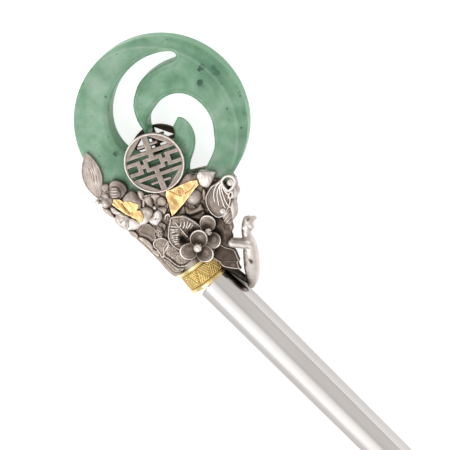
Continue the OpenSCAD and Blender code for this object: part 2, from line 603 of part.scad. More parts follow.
// The pod's rim, as places on an egg shape along X
function pod_rim(a) = [pod_l / 2 * cos(a), -pod_w / 2 * sin(a) * (1 - 0.25 * cos(a)), leaf_t * 0.45];
module filigree_pod() color([0.62, 0.59, 0.56]) place(pod_at, high_z) {
    translate([0.2, 0, 0]) oval(pod_l * 0.9, pod_w * 0.8, leaf_t * 0.35, 16);
    translate([1, -0.4, -leaf_t]) bud(1.6, 1.2, leaf_t * 1.3, 10);
    wire([for (a = [180:27.5:400]) pod_rim(a)], pod_wire_r);
    for (y = [-0.9, -0.1, 0.7])
        wire([[-pod_l * 0.44, y * 0.2, leaf_t * 0.5], [-0.8, y * 1.05, leaf_t * 0.6], [1.2, y, leaf_t * 0.4]],
            pod_wire_r * 0.8);
    wire([for (a = [10:58:358]) [pod_l * (0.17 * cos(a) - 0.43), pod_l * (0.2 * sin(a) + 0.31), leaf_t * 0.6]],
        pod_wire_r);
    wire([[-pod_l * 0.457, pod_l * 0.129, leaf_t * 0.4], [-pod_l * 0.214, pod_l * 0.171, leaf_t * 0.3]], pod_wire_r);
    translate([-pod_l * 0.486, pod_l * 0.329, leaf_t * 0.85]) ball(0.7);
    bar([-pod_l * 0.486, pod_l * 0.329, leaf_t * 0.5], [-pod_l * 0.571, pod_l * 0.229, leaf_t * 0.5], 0.4, pod_wire_r);
    translate([pod_l * 0.229, pod_l * 0.143, leaf_t * 0.9]) ball(0.75);
    for (x = [0.343, 0.414, 0.486])
        bar([pod_l * x, pod_l * 0.171, 0.3], [pod_l * (x + 0.086), pod_l * 0.4, 0.3], 0.3, 0.25);
}

// The twig from the bud at its end, past its shoulder and down to its base beside the shaft.
// Each row is a place, as shares of the fan's length and width and of the front plate's height, and a radius
// as a share of the stem's or the bud's.
TWIG = [[0.9458, 0.1409, 1.05, 0.72], [1.0292, 0.0773, 1.025, 0.84], [1.1, 0.0364, 0.9625, 1],
    [1.1667, -0.0182, 0.9, 1.05], [1.2333, -0.0864, 0.8125, 1],
    [1.2833, -0.15, 0.7125, 0.85], [1.3083, -0.2091, 0.6125, 0.6]];
TWIG_SIDE = [[1.0417, 0.0636, 1.15, 0.8], [0.9313, -0.0295, 1.3, 0.85]];
TWIG_BUD = [[0.9458, 0.1409, 1.05, 1], [0.8958, 0.2273, 1.05, 1.1]];
TWIG_BUD_END = [[0.9, 0.2364, 1.0625, 0.85], [0.9167, 0.2909, 1.0875, 0.4]];
module branch(rows, r) {
    for (i = [0:len(rows) - 2]) {
        ends = [for (row = [rows[i], rows[i + 1]]) [row[0] * fan_l, row[1] * fan_w, row[2] * bed_z]];
        bar(ends[0], ends[1], rows[i][3] * r, rows[i + 1][3] * r, ball_fn);
    }
}
module twig() color([0.8, 0.77, 0.75]) {
    branch(TWIG, twig_r);
    branch(TWIG_SIDE, twig_r);
    branch(TWIG_BUD, twig_bud_r);
    branch(TWIG_BUD_END, twig_bud_r);
}

jade_ring();
front_roundel();
back_roundel();
setting();
gold_band();
shaft();
left_leaf();
ribbed_bud();
left_buds();
left_blossom();
gold_leaf_left();
small_blossom();
bright_bud();
broad_leaf();
stamens();
sprig();
middle_petal();
gold_leaf_right();
small_leaf();
dome_bud();
leaf_strips();
filigree_pod();
pod_leaf();
heart_leaf();
main_blossom();
rear_blossom();
dark_leaf();
right_leaf();
lower_left_leaf();
twig();
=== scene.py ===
import itertools
import math

import bpy
import numpy as np
from mathutils import Matrix, Vector


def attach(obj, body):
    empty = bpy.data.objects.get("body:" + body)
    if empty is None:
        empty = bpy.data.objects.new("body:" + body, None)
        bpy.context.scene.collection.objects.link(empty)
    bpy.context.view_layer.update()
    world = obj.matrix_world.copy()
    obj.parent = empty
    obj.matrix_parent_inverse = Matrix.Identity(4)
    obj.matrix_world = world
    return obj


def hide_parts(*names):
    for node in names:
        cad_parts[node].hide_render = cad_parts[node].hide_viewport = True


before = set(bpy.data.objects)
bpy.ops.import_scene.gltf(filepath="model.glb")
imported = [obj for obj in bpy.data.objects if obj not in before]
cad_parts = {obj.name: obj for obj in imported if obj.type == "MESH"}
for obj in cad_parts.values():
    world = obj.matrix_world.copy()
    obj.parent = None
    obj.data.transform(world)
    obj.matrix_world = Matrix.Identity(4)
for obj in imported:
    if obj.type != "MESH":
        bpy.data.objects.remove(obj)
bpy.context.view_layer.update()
MM = 0.001

# Sizes shared with the solids, in millimetres
JADE_R = 17.6
JADE_T = 6.0
JADE_AT = (-4.7, 6.0)
JADE_Z = 1.1
DISC_R = 6.15
DISC_T = 0.95
FRONT_DISC_Z = 8.05
FRET_ANGLE = 66
FAN_L = 24.0
FAN_W = 22.0
BED_Z = 8.0
LOW_Z = 8.06
HIGH_Z = 9.08
CROWN_Z = 10.04
ELBOW = (25.2, -9.95)
BAND_R = 4.75
BAND_H = 4.95
BAND_ANGLE = -7
SHAFT_R = 4.45
SHAFT_TIP_R = 3.7
SHAFT_L = 122.0
SHAFT_TIP_L = 4.6
SHAFT_SLOPE = math.degrees(math.asin((BAND_R - SHAFT_TIP_R) / (SHAFT_L - SHAFT_TIP_L)))
NECK_R = 4.1
# The jade's pocket in the setting: its middle height and half its height
POCKET_Z = 4.1
POCKET_HALF = 3.06
# The recess for the back roundel
RECESS_R = 6.2
RECESS_H = 1.0
# Steps between the points of the large meshes
JADE_STEP = 0.247
SETTING_STEP = 0.148
TWIG_STEP = 0.13


# Shapes, as distances in millimetres that are negative inside

def scrambled(x, y, z, seed):
    """Whole numbers that look random and are the same in each run."""
    h = (x * 73856093) ^ (y * 19349663) ^ (z * 83492791) ^ (seed * 6542989)
    h = (h ^ (h >> 13)) * 1274126177
    return h ^ (h >> 16)


def cells_of(*places):
    return [np.floor(v).astype(np.int64) for v in places]


def unit(values):
    """Values held between 0 and 1."""
    return np.clip(values, 0, 1)


def hill(values, middle, wide):
    """1 where the values are at the middle, falling off to both sides."""
    return np.exp(-((values - middle) / wide) ** 2)


def noise(x, y, z, seed=0):
    """Smooth value noise, about -1 to 1."""
    bx, by, bz = cells_of(x, y, z)
    fx, fy, fz = (f * f * (3 - 2 * f) for f in (x - bx, y - by, z - bz))
    total = np.zeros(np.broadcast(x, y, z).shape)
    for dx, dy, dz in itertools.product((0, 1), repeat=3):
        value = (scrambled(bx + dx, by + dy, bz + dz, seed) & 0xFFFF) / 32767.5 - 1
        total += value * ((fx if dx else 1 - fx) * (fy if dy else 1 - fy) * (fz if dz else 1 - fz))
    return total


def ripple(x, y, often, seed):
    """Smooth noise in the plane."""
    return noise(x * often, y * often, 0, seed)


def lumps(x, y, z, size, seed=0):
    """The distance to the nearest of many scattered middles, as a share of their spacing."""
    x, y, z = x / size, y / size, z / size
    cell = cells_of(x, y, z)
    best = np.full(np.broadcast(x, y, z).shape, 9.0)
    for step in itertools.product((-1, 0, 1), repeat=3):
        corner = [c + d for c, d in zip(cell, step)]
        h = scrambled(*corner, seed)
        px, py, pz = (c + 0.15 + 0.7 * (((h >> k) & 0xFF) / 255) for c, k in zip(corner, (0, 8, 16)))
        best = np.minimum(best, (x - px) ** 2 + (y - py) ** 2 + (z - pz) ** 2)
    return np.sqrt(best)


def soft_max(a, b, k):
    h = np.maximum(k - np.abs(a - b), 0) / k
    return np.maximum(a, b) + h * h * k / 4


def soft_min(a, b, k):
    return -soft_max(-a, -b, k)


def ellipsoid(x, y, z, middle, radii):
    px, py, pz = (x - middle[0]) / radii[0], (y - middle[1]) / radii[1], (z - middle[2]) / radii[2]
    near = np.sqrt(px ** 2 + py ** 2 + pz ** 2)
    slope = np.sqrt((px / radii[0]) ** 2 + (py / radii[1]) ** 2 + (pz / radii[2]) ** 2)
    return near * (near - 1) / np.maximum(slope, 1e-6)


def round_bar(x, y, z, a, b, ra, rb):
    a, b = np.array(a, float), np.array(b, float)
    along = b - a
    t = ((x - a[0]) * along[0] + (y - a[1]) * along[1] + (z - a[2]) * along[2]) / (along @ along)
    t = unit(t)
    gap_x, gap_y, gap_z = (v - start - t * way for v, start, way in zip((x, y, z), a, along))
    return np.sqrt(gap_x ** 2 + gap_y ** 2 + gap_z ** 2) - (ra + (rb - ra) * t)


def with_lumps(d, x, y, z, rows):
    """Balls and bars melted into a shape, or cut out of it where a row's first number is below 0."""
    for melt, a, b, *radii in rows:
        other = round_bar(x, y, z, a, b, *radii) if radii else ellipsoid(x, y, z, a, b)
        d = soft_min(d, other, melt) if melt > 0 else soft_max(d, -other, -melt)
    return d


def to_line(x, y, a, b):
    """The distance in the plane to the straight line from a to b."""
    ex, ey = b[0] - a[0], b[1] - a[1]
    t = unit(((x - a[0]) * ex + (y - a[1]) * ey) / (ex * ex + ey * ey))
    return np.hypot(x - a[0] - t * ex, y - a[1] - t * ey)


def tenths(numbers):
    """Points in millimetres, from tenths of one: x and y in turn."""
    return np.reshape(numbers, (-1, 2)) / 10


def flat_box(x, y, middle, half):
    """A rectangle in the plane."""
    dx, dy = np.abs(x - middle[0]) - half[0], np.abs(y - middle[1]) - half[1]
    return np.sqrt(np.maximum(dx, 0) ** 2 + np.maximum(dy, 0) ** 2) + np.minimum(np.maximum(dx, dy), 0)


def outline(x, y, corners):
    """A closed outline in the plane."""
    corners = np.array(corners, float)
    best = np.full(x.shape, 1e9)
    inside = np.zeros(x.shape, bool)
    for a, b in zip(corners, np.roll(corners, -1, 0)):
        ex, ey = b - a
        wx, wy = x - a[0], y - a[1]
        t = unit((wx * ex + wy * ey) / (ex * ex + ey * ey + 1e-12))
        best = np.minimum(best, (wx - ex * t) ** 2 + (wy - ey * t) ** 2)
        if abs(ey) > 1e-9:
            crossed = ((a[1] > y) != (b[1] > y)) & (x < ex * (y - a[1]) / ey + a[0])
            inside ^= crossed
    return np.where(inside, -1, 1) * np.sqrt(best)


def sampled(shape, low, high, step):
    """A plane shape worked out once on a fine grid, then read between its points."""
    xs = np.arange(low[0], high[0] + step, step)
    ys = np.arange(low[1], high[1] + step, step)
    values = shape(*np.meshgrid(xs, ys, indexing="ij"))

    def read(x, y):
        u = np.clip((x - low[0]) / step, 0, len(xs) - 1.001)
        v = np.clip((y - low[1]) / step, 0, len(ys) - 1.001)
        i, j = u.astype(int), v.astype(int)
        u, v = u - i, v - j
        return ((values[i, j] * (1 - u) + values[i + 1, j] * u) * (1 - v)
                + (values[i, j + 1] * (1 - u) + values[i + 1, j + 1] * u) * v)
    return read


def closed_area(line, low, high, step):
    """The outline of a closed line, read from a fine grid."""
    return sampled(lambda x, y: outline(x, y, line), low, high, step)


def smooth_curve(knots, steps, closed=False):
    """A smooth curve through knots."""
    knots = np.array(knots, float)
    n = len(knots)
    out = []
    for i in range(n if closed else n - 1):
        if closed:
            a, b, c, d = (knots[(i + k) % n] for k in (-1, 0, 1, 2))
        else:
            a, b, c, d = (knots[min(max(i + k, 0), n - 1)] for k in (-1, 0, 1, 2))
        for t in np.arange(steps) / steps:
            out.append(0.5 * (2 * b + (c - a) * t + (2 * a - 5 * b + 4 * c - d) * t * t
                              + (3 * b - a - 3 * c + d) * t ** 3))
    if not closed:
        out.append(knots[-1])
    return np.array(out)


# Meshes

def skin(shape, low, high, step, settle=2):
    """The closed surface of a shape in a box: points and four-sided faces."""
    low, high = np.array(low, float), np.array(high, float)
    n = np.ceil((high - low) / step).astype(int) + 1
    axes = [low[k] + step * np.arange(n[k]) for k in range(3)]
    grid = np.empty(n)
    for i in range(0, n[0], 12):
        grid[i:i + 12] = shape(*np.meshgrid(axes[0][i:i + 12], axes[1], axes[2], indexing="ij"))
    inside = grid < 0
    total = np.zeros((*(n - 1), 3))
    count = np.zeros(n - 1)
    edges = []
    for axis in range(3):
        first = [slice(None)] * 3
        second = [slice(None)] * 3
        first[axis] = slice(0, -1)
        second[axis] = slice(1, None)
        a, b = grid[tuple(first)], grid[tuple(second)]
        cross = inside[tuple(first)] != inside[tuple(second)]
        t = np.where(cross, a / np.where(cross, a - b, 1), 0)
        edges.append((cross, inside[tuple(first)]))
        others = [k for k in range(3) if k != axis]
        for du in (0, 1):
            for dv in (0, 1):
                part = [slice(None)] * 3
                part[others[0]] = slice(du, du + n[others[0]] - 1)
                part[others[1]] = slice(dv, dv + n[others[1]] - 1)
                hit = cross[tuple(part)]
                count += hit
                total[..., axis] += np.where(hit, t[tuple(part)], 0)
                total[..., others[0]] += hit * du
                total[..., others[1]] += hit * dv
    used = count > 0
    cells = np.argwhere(used)
    points = low + step * (cells + total[used] / count[used][:, None])
    number = np.full(n - 1, -1)
    number[used] = np.arange(len(cells))
    faces = []
    for axis in range(3):
        cross, starts = edges[axis]
        u, v = (axis + 1) % 3, (axis + 2) % 3
        at = np.argwhere(cross)
        keep = (at[:, u] > 0) & (at[:, v] > 0) & (at[:, u] < n[u] - 1) & (at[:, v] < n[v] - 1)
        at = at[keep]
        forward = starts[tuple(at.T)]
        corners = []
        for du, dv in ((1, 1), (0, 1), (0, 0), (1, 0)):
            cell = at.copy()
            cell[:, u] -= du
            cell[:, v] -= dv
            corners.append(number[tuple(cell.T)])
        quads = np.stack(corners, 1)
        faces.append(np.where(forward[:, None], quads, quads[:, ::-1]))
    faces = np.concatenate(faces)
    h = step * 0.08
    for _ in range(settle):
        x, y, z = points.T
        d = shape(x, y, z)
        slope = np.stack([shape(x + h, y, z) - d, shape(x, y + h, z) - d, shape(x, y, z + h) - d], 1) / h
        size = np.maximum((slope ** 2).sum(1), 0.25)
        move = -(d / size)[:, None] * slope
        length = np.linalg.norm(move, axis=1)
        move *= np.minimum(1, 0.5 * step / np.maximum(length, 1e-9))[:, None]
        points = points + move
    return points, [faces]


def sheet_solid(top, bottom):
    """A closed solid between two equal grids of points."""
    n, m = top.shape[:2]
    index = np.arange(n * m).reshape(n, m)
    under = index + n * m
    quads = np.stack([index[:-1, :-1], index[1:, :-1], index[1:, 1:], index[:-1, 1:]], -1).reshape(-1, 4)
    below = np.stack([under[:-1, :-1], under[:-1, 1:], under[1:, 1:], under[1:, :-1]], -1).reshape(-1, 4)
    rim = np.concatenate([index[0, :-1], index[:-1, -1], index[-1, :0:-1], index[:0:-1, 0]])
    low = rim + n * m
    wall = np.stack([rim, np.roll(rim, -1), np.roll(low, -1), low], 1)
    return np.concatenate([top.reshape(-1, 3), bottom.reshape(-1, 3)]), [quads, below, wall]


def turned(profile):
    """Rings of points joined into a skin, with a middle point on each end."""
    rings, sides = profile.shape[:2]
    index = np.arange(rings * sides).reshape(rings, sides)
    after = np.roll(index, -1, 1)
    quads = np.stack([index[:-1], after[:-1], after[1:], index[1:]], -1).reshape(-1, 4)
    points = np.concatenate([profile.reshape(-1, 3), profile[0].mean(0)[None], profile[-1].mean(0)[None]])
    start, end = rings * sides, rings * sides + 1
    first = np.stack([np.full(sides, start), after[0], index[0]], 1)
    last = np.stack([np.full(sides, end), index[-1], after[-1]], 1)
    return points, [quads, first, last]


def looped(rings):
    """Rings of points joined into a skin, and the last ring to the first."""
    n, m = rings.shape[:2]
    index = np.arange(n * m).reshape(n, m)
    turn = np.roll(index, -1, 1)
    quads = np.stack([index, turn, np.roll(turn, -1, 0), np.roll(index, -1, 0)], -1).reshape(-1, 4)
    return rings.reshape(-1, 3), [quads]


def circle(r, around, z):
    """A ring of points round Z. The radius and the height are numbers, or one for each point."""
    return np.column_stack([r * np.cos(around), r * np.sin(around), z + 0 * around])


def tube(path, radius, sides=12, steps=6, closed=False):
    """A round wire along a smooth path. The radius is one number or one for each knot."""
    path = np.array(path, float)
    radii = np.full(len(path), radius) if np.isscalar(radius) else np.array(radius, float)
    line = smooth_curve(np.column_stack([path, radii]), steps, closed)
    spine, radii = line[:, :3], line[:, 3]
    if closed:
        ahead = np.roll(spine, -1, 0) - np.roll(spine, 1, 0)
    else:
        ahead = np.gradient(spine, axis=0)
    ahead /= np.linalg.norm(ahead, axis=1)[:, None]
    up = np.array([0, 0, 1.0]) if abs(ahead[0][2]) < 0.9 else np.array([1.0, 0, 0])
    rings = []
    for p, a, r in zip(spine, ahead, radii):
        side = np.cross(up, a)
        side /= np.linalg.norm(side)
        up = np.cross(a, side)
        angles = np.linspace(0, 2 * np.pi, sides, endpoint=False)
        rings.append(p + r * (np.cos(angles)[:, None] * side + np.sin(angles)[:, None] * up))
    rings = np.array(rings)
    if closed:
        return looped(rings)
    ends = []
    for ring, a, sign in ((rings[0], ahead[0], -1), (rings[-1], ahead[-1], 1)):
        mid = ring.mean(0)
        r = np.linalg.norm(ring[0] - mid)
        ends.append([mid + (ring - mid) * c + a * sign * r * s for c, s in ((0.4, 0.9), (0.8, 0.6))])
    rings = np.concatenate([np.array(ends[0]), rings, np.array(ends[1])[::-1]])
    return turned(rings)


def ball_mesh(middle, radii, rings=14, sides=20):
    around = np.linspace(0, 2 * np.pi, sides, endpoint=False)
    out = []
    for a in np.linspace(0.12, np.pi - 0.12, rings)[::-1]:
        wide = np.sin(a)
        out.append(np.column_stack([np.cos(around) * wide * radii[0], np.sin(around) * wide * radii[1],
                                    np.full(sides, np.cos(a) * radii[2])]))
    return turned(np.array(out) + np.array(middle))


def joined(parts):
    points, faces, start = [], [], 0
    for p, fs in parts:
        points.append(p)
        faces += [f + start for f in fs]
        start += len(p)
    return np.concatenate(points), faces


def placed(part, at, z):
    """A part in millimetres turned and moved to its place."""
    points, faces = part
    a = math.radians(at[2]) if len(at) > 2 else 0
    turn = np.array([[math.cos(a), math.sin(a), 0], [-math.sin(a), math.cos(a), 0], [0, 0, 1]])
    return points @ turn + np.array([at[0], at[1], z]), faces


def new_object(name, data):
    thing = bpy.data.objects.new(name, data)
    bpy.context.scene.collection.objects.link(thing)
    return thing


pieces = {}


def piece(name, node, part, finish, sharp=None):
    """Makes an object for a solid, on the part's body. The finish is a material and its slot; the slot is
    not used.
    """
    points, faces = part
    material, slot = finish
    mesh = bpy.data.meshes.new(name)
    mesh.vertices.add(len(points))
    mesh.vertices.foreach_set("co", (points * MM).astype(np.float32).ravel())
    loops = np.concatenate([f.ravel() for f in faces])
    sizes = np.concatenate([np.full(len(f), f.shape[1]) for f in faces])
    mesh.loops.add(len(loops))
    mesh.loops.foreach_set("vertex_index", loops.astype(np.int32))
    mesh.polygons.add(len(sizes))
    mesh.polygons.foreach_set("loop_start", (np.cumsum(sizes) - sizes).astype(np.int32))
    mesh.update(calc_edges=True)
    mesh.polygons.foreach_set("use_smooth", np.ones(len(sizes), bool))
    if sharp:
        mesh.set_sharp_from_angle(angle=math.radians(sharp))
    mesh.materials.append(material)
    thing = new_object(name, mesh)
    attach(thing, "root")
    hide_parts(node)
    pieces[name] = (thing, points, faces)


# Materials

def tree_of(name):
    material = bpy.data.materials.new(name)
    material.use_nodes = True
    tree = material.node_tree
    return material, tree, tree.nodes["Principled BSDF"]


def fit(tree, node, inputs):
    """Gives sockets of a node their links or values."""
    for key, value in dict(inputs).items():
        if isinstance(value, bpy.types.NodeSocket):
            tree.links.new(value, node.inputs[key])
        else:
            node.inputs[key].default_value = value


def add(tree, kind, inputs=(), **values):
    node = tree.nodes.new(kind)
    for key, value in values.items():
        setattr(node, key, value)
    fit(tree, node, inputs)
    return node


def ramp(tree, value, stops):
    """Colours along a value. A stop is its place and its red, green and blue."""
    node = add(tree, "ShaderNodeValToRGB", {"Fac": value})
    elements = node.color_ramp.elements
    while len(elements) < len(stops):
        elements.new(0.5)
    for element, (place, *colour) in zip(elements, stops):
        element.position = place
        element.color = (*colour, 1)
    return node.outputs["Color"]


def grain(tree, size, detail, rough, stretch=1):
    """Noise of a size in millimetres, drawn out along the pin where stretch is below 1."""
    place = add(tree, "ShaderNodeTexCoord")
    spread = add(tree, "ShaderNodeMapping", {"Vector": place.outputs["Object"],
                                             "Scale": [1000 * stretch, 1000, 1000]})
    return add(tree, "ShaderNodeTexNoise", {"Vector": spread.outputs["Vector"], "Scale": 1 / size,
                                            "Detail": detail, "Roughness": rough}).outputs["Fac"]


def combine(tree, kind, a, b, clamp=False):
    return add(tree, "ShaderNodeMath", {0: a, 1: b}, operation=kind, use_clamp=clamp).outputs[0]


def centred(tree, value, gain):
    """A noise that swings about 0."""
    return combine(tree, "MULTIPLY", combine(tree, "SUBTRACT", value, 0.5), gain)


def attribute(tree, name):
    return add(tree, "ShaderNodeAttribute", attribute_name=name).outputs["Fac"]


def remap(tree, value, low, high, start=0, end=1):
    """Turns a value that runs from start to end into one from low to high."""
    return add(tree, "ShaderNodeMapRange", {"Value": value, "From Min": start, "From Max": end,
                                            "To Min": low, "To Max": high}).outputs[0]


def mixed(tree, share, colour, tint):
    return add(tree, "ShaderNodeMix", {0: share, 6: colour, 7: (*tint, 1)}, data_type="RGBA").outputs[2]


def bump(tree, height, strength, depth, under=None):
    """Bumps of a depth in millimetres, on top of others if those are given."""
    inputs = {"Height": height, "Strength": strength, "Distance": depth * MM}
    if under is not None:
        inputs["Normal"] = under
    return add(tree, "ShaderNodeBump", inputs).outputs["Normal"]


def metal(name, slot, rough, depth, size, stops):
    """A cast or beaten metal, darker in its hollows and brighter along its edges, from patina and from
    painted shade and light kept at its points.
    """
    material, tree, shader = tree_of(name)
    # The points' number holds patina with painted shade and light; noise is added to it
    level = combine(tree, "ADD", attribute(tree, "wear_and_shade"), centred(tree, grain(tree, 1.2, 4, 0.6), 0.34),
                    True)
    fit(tree, shader, {
        "Base Color": ramp(tree, level, stops), "Metallic": 1, "Roughness": remap(tree, level, *rough),
        "Normal": bump(tree, grain(tree, size, 3, 0.6), 0.6, depth)})
    return material, slot


# Metals: name, slot, roughness in a hollow and on an edge, the bumps' depth and size, and colours
# from a hollow to an edge
oxidised, satin, bright, gold_foil, gold_wash = (metal(*row) for row in (
    ("oxidised_silver", "oxidised_silver", (0.62, 0.4), 0.03, 0.2, [
        (0, 0.013, 0.01, 0.008), (0.3, 0.098, 0.073, 0.058), (0.5, 0.275, 0.222, 0.185),
        (0.7, 0.45, 0.385, 0.335), (0.86, 0.67, 0.6, 0.545), (1, 0.88, 0.82, 0.77)]),
    ("satin_silver", "satin_silver", (0.58, 0.42), 0.02, 0.12, [
        (0, 0.02, 0.017, 0.015), (0.3, 0.182, 0.145, 0.122), (0.5, 0.35, 0.292, 0.255),
        (0.75, 0.52, 0.455, 0.415), (1, 0.86, 0.8, 0.755)]),
    ("bright_silver", "polished_silver", (0.52, 0.36), 0.02, 0.35, [
        (0, 0.04, 0.035, 0.03), (0.3, 0.31, 0.26, 0.23), (0.55, 0.63, 0.57, 0.53), (1, 0.9, 0.86, 0.82)]),
    ("gold_foil", "gilt", (0.5, 0.38), 0.02, 0.3, [
        (0, 0.38, 0.18, 0.05), (0.35, 0.68, 0.39, 0.15), (0.6, 0.9, 0.61, 0.29), (1, 1.0, 0.8, 0.48)]),
    ("gold_wash", "gilt", (0.42, 0.24), 0.012, 0.2, [
        (0, 0.12, 0.07, 0.015), (0.35, 0.4, 0.26, 0.07), (0.62, 0.62, 0.44, 0.15), (1, 0.88, 0.72, 0.36)])))
dark_satin = satin[0], "oxidised_silver"


def polished_metal():
    material, tree, shader = tree_of("polished_silver")
    clean = ramp(tree, grain(tree, 6, 3, 0.5, 0.25), [(0.3, 0.745, 0.715, 0.695), (0.7, 0.8, 0.775, 0.76)])
    scratches = grain(tree, 0.25, 4, 0.7, 0.06)
    dents = bump(tree, grain(tree, 3.5, 2, 0.4, 0.4), 0.5, 0.05)
    fit(tree, shader, {
        # Tarnished metal with painted shadow and painted reflection under the twig, and painted shade on
        # the far side, darkens it
        "Base Color": mixed(tree, attribute(tree, "tarnish_and_shade"), clean, (0.05, 0.042, 0.038)), "Metallic": 1,
        "Roughness": remap(tree, scratches, 0.09, 0.17, 0.3, 0.7),
        "Normal": bump(tree, scratches, 0.4, 0.003, dents)})
    return material, "polished_silver"


def jade_stone():
    material, tree, shader = tree_of("jade_stone")
    fine = grain(tree, 1.3, 4, 0.6)
    level = combine(tree, "ADD", grain(tree, 6.5, 5, 0.55), centred(tree, fine, 0.22))
    colour = ramp(tree, level, [(0.25, 0.085, 0.2, 0.12), (0.4, 0.15, 0.31, 0.19),
                                (0.52, 0.215, 0.385, 0.25), (0.64, 0.285, 0.46, 0.33),
                                (0.76, 0.41, 0.56, 0.45)])
    torn = combine(tree, "ADD", attribute(tree, "mark"), centred(tree, grain(tree, 0.75, 4, 0.65), 0.9))
    specks = remap(tree, grain(tree, 0.5, 0, 0.5), 0, 0.55, 0.78, 0.84)
    dark = combine(tree, "MAXIMUM", remap(tree, torn, 0, 0.96, 0.29, 0.56), specks, True)
    # Painted shade: the upright walls get a deeper, flatter green tint by their slant, and less gloss
    wall = attribute(tree, "wall")
    # The milky tint holds the stone's clouds and a painted light line on the arc; the deeper tint adds
    # painted shade on bevel and arc
    for share, tint in ((dark, (0.018, 0.05, 0.032)), (attribute(tree, "deep"), (0.07, 0.19, 0.11)),
                        (attribute(tree, "cloud_and_painted_light"), (0.46, 0.56, 0.48)), (wall, (0.15, 0.33, 0.19))):
        colour = mixed(tree, share, colour, tint)
    fit(tree, shader, {
        "Base Color": colour, "Roughness": 0.22,
        "Specular IOR Level": remap(tree, wall, 0.3, 0.02, 0, 0.75),
        "Subsurface Weight": remap(tree, dark, 0.35, 0.04), "Subsurface Radius": (0.6, 1.0, 0.7),
        "Subsurface Scale": 0.0016, "Normal": bump(tree, fine, 0.25, 0.02)})
    return material, "jade"


polished = polished_metal()
jade = jade_stone()


# Jade ring

# The opening's outline in four runs: shares of the ring's radius and angles in turn
SWIRL = [
    [0.777, 120.3, 0.83, 120.6, 0.853, 123.5, 0.84, 130.5, 0.8, 141.6, 0.753, 154.7, 0.694, 170.6,
     0.654, 186.3, 0.62, 202, 0.596, 217.6, 0.576, 233.8, 0.556, 248, 0.523, 268, 0.449, 297.5,
     0.379, 313.5, 0.305, 331, 0.25, 352, 0.216, 367, 0.176, 384, 0.125, 403],
    [0.125, 403, 0.177, 409.8, 0.241, 401.1, 0.308, 391, 0.375, 381.1, 0.436, 371, 0.489, 361.5,
     0.541, 352.3, 0.598, 344.5, 0.68, 341.5, 0.836, 341.5],
    [0.836, 341.5, 0.735, 357, 0.68, 380, 0.625, 395, 0.592, 411.4, 0.543, 429, 0.475, 450.5, 0.394, 469.8,
     0.295, 489.1, 0.228, 503.9, 0.171, 526, 0.163, 558.6, 0.152, 587.5, 0.155, 607.4, 0.177, 627,
     0.27, 644.6],
    [0.27, 644.6, 0.222, 630, 0.203, 609, 0.23, 596, 0.3, 567.8, 0.383, 548.7, 0.448, 534, 0.531, 520.6,
     0.6, 506.3, 0.666, 494.5, 0.739, 483.7, 0.777, 480.3],
]


def polar(rows, r):
    return [[share * r * math.cos(math.radians(angle)), share * r * math.sin(math.radians(angle))]
            for share, angle in np.reshape(rows, (-1, 2))]


def softened(line, rounds):
    """A closed line in even steps, with its kinks rounded off."""
    around = np.concatenate([line, line[:1]])
    way = np.concatenate([[0], np.cumsum(np.linalg.norm(np.diff(around, axis=0), axis=1))])
    steps = np.linspace(0, way[-1], 420, endpoint=False)
    line = np.column_stack([np.interp(steps, way, around[:, k]) for k in (0, 1)])
    for _ in range(rounds):
        line = 0.5 * line + 0.25 * (np.roll(line, 1, 0) + np.roll(line, -1, 0))
    return line


swirl_line = softened(np.concatenate([smooth_curve(polar(part, JADE_R), 8)[:-1] for part in SWIRL]), 14)
swirl = closed_area(swirl_line, (-18.2, -18.2), (18.2, 18.2), 0.1)

# The tongue beside the roundel spreads outwards to the front: its middle line, and its lean for its height
TONGUE = ((1.5, 2.5), (8.2, 0.0))
TONGUE_LEAN = (-0.0957, 0.2904)


def leaning_swirl(x, y, z):
    value = swirl(x, y)
    weight = unit((3.7 - to_line(x, y, *TONGUE)) / 0.8)
    height = np.clip(z, 0, JADE_T)
    swept = value
    for share in (0.33, 0.67, 1.0):
        shifted = swirl(x - share * TONGUE_LEAN[0] * height, y - share * TONGUE_LEAN[1] * height)
        swept = np.maximum(swept, shifted)
    return value + weight * (swept - value)


def jade_shape(x, y, z):
    wave = 0.05 * noise(x * 0.35 + 3, y * 0.35, z * 0.35, 5)
    side = np.hypot(x, y) - JADE_R - wave * 0.4
    hole = -leaning_swirl(x, y, z)
    level = np.abs(z - JADE_T / 2) - JADE_T / 2 - wave * np.sign(z - JADE_T / 2) * 0.3
    outer = np.maximum(soft_max(side, level, 0.25), (side + level + 0.75) * 0.7071)
    inner = np.maximum(soft_max(hole, level, 0.25), (hole + level + 0.5) * 0.7071)
    return soft_max(outer, inner, 0.2)


jade_part = placed(skin(jade_shape, (-18, -18, -0.3), (18, 18, JADE_T + 0.3), JADE_STEP), JADE_AT, JADE_Z)
piece("carved_jade_ring", "jade_ring", jade_part, jade)


# Roundels

def fret_holes(x, y, with_window):
    spine = 0.55
    reach = DISC_R - 0.6
    ax, ay = np.abs(x), np.abs(y)
    holes = flat_box(ax, ay, (spine + 3, 1.74), (3, 0.3))
    holes = np.minimum(holes, flat_box(ax, ay, (DISC_R * 0.38, 1.11), (0.29, 0.64)))
    corner = np.maximum(spine + 0.08 - ax, 2.84 - ay)
    corner = np.maximum(corner, 0.631 * (ax - DISC_R * 0.68) + 0.776 * (ay - 2.84))
    corner = np.maximum(corner, -flat_box(ax, ay, (spine + 0.8, 3.86), (0.8, 0.26)))
    holes = np.minimum(holes, corner)
    holes = np.minimum(holes, flat_box(ax, ay, (DISC_R * 0.745, 0), (0.975, 0.6)))
    if with_window:
        holes = np.minimum(holes, flat_box(ax, ay, (0, 0), (1.2, 0.6)))
    return np.maximum(holes, np.hypot(x, y) - reach)


def roundel_shape(with_window):
    def shape(x, y, z):
        r = np.hypot(x, y)
        worn = 0.03 * noise(x * 1.2, y * 1.2, z, 9)
        top = DISC_T - 0.07 * unit((DISC_R - 0.3 - r) / 0.12) + worn * 0.5
        level = np.maximum(z - top, -z)
        body = soft_max(level, r - DISC_R - worn * 0.5, 0.22)
        return soft_max(body, -fret_holes(x, y, with_window) + worn * 0.5, 0.16)
    return shape


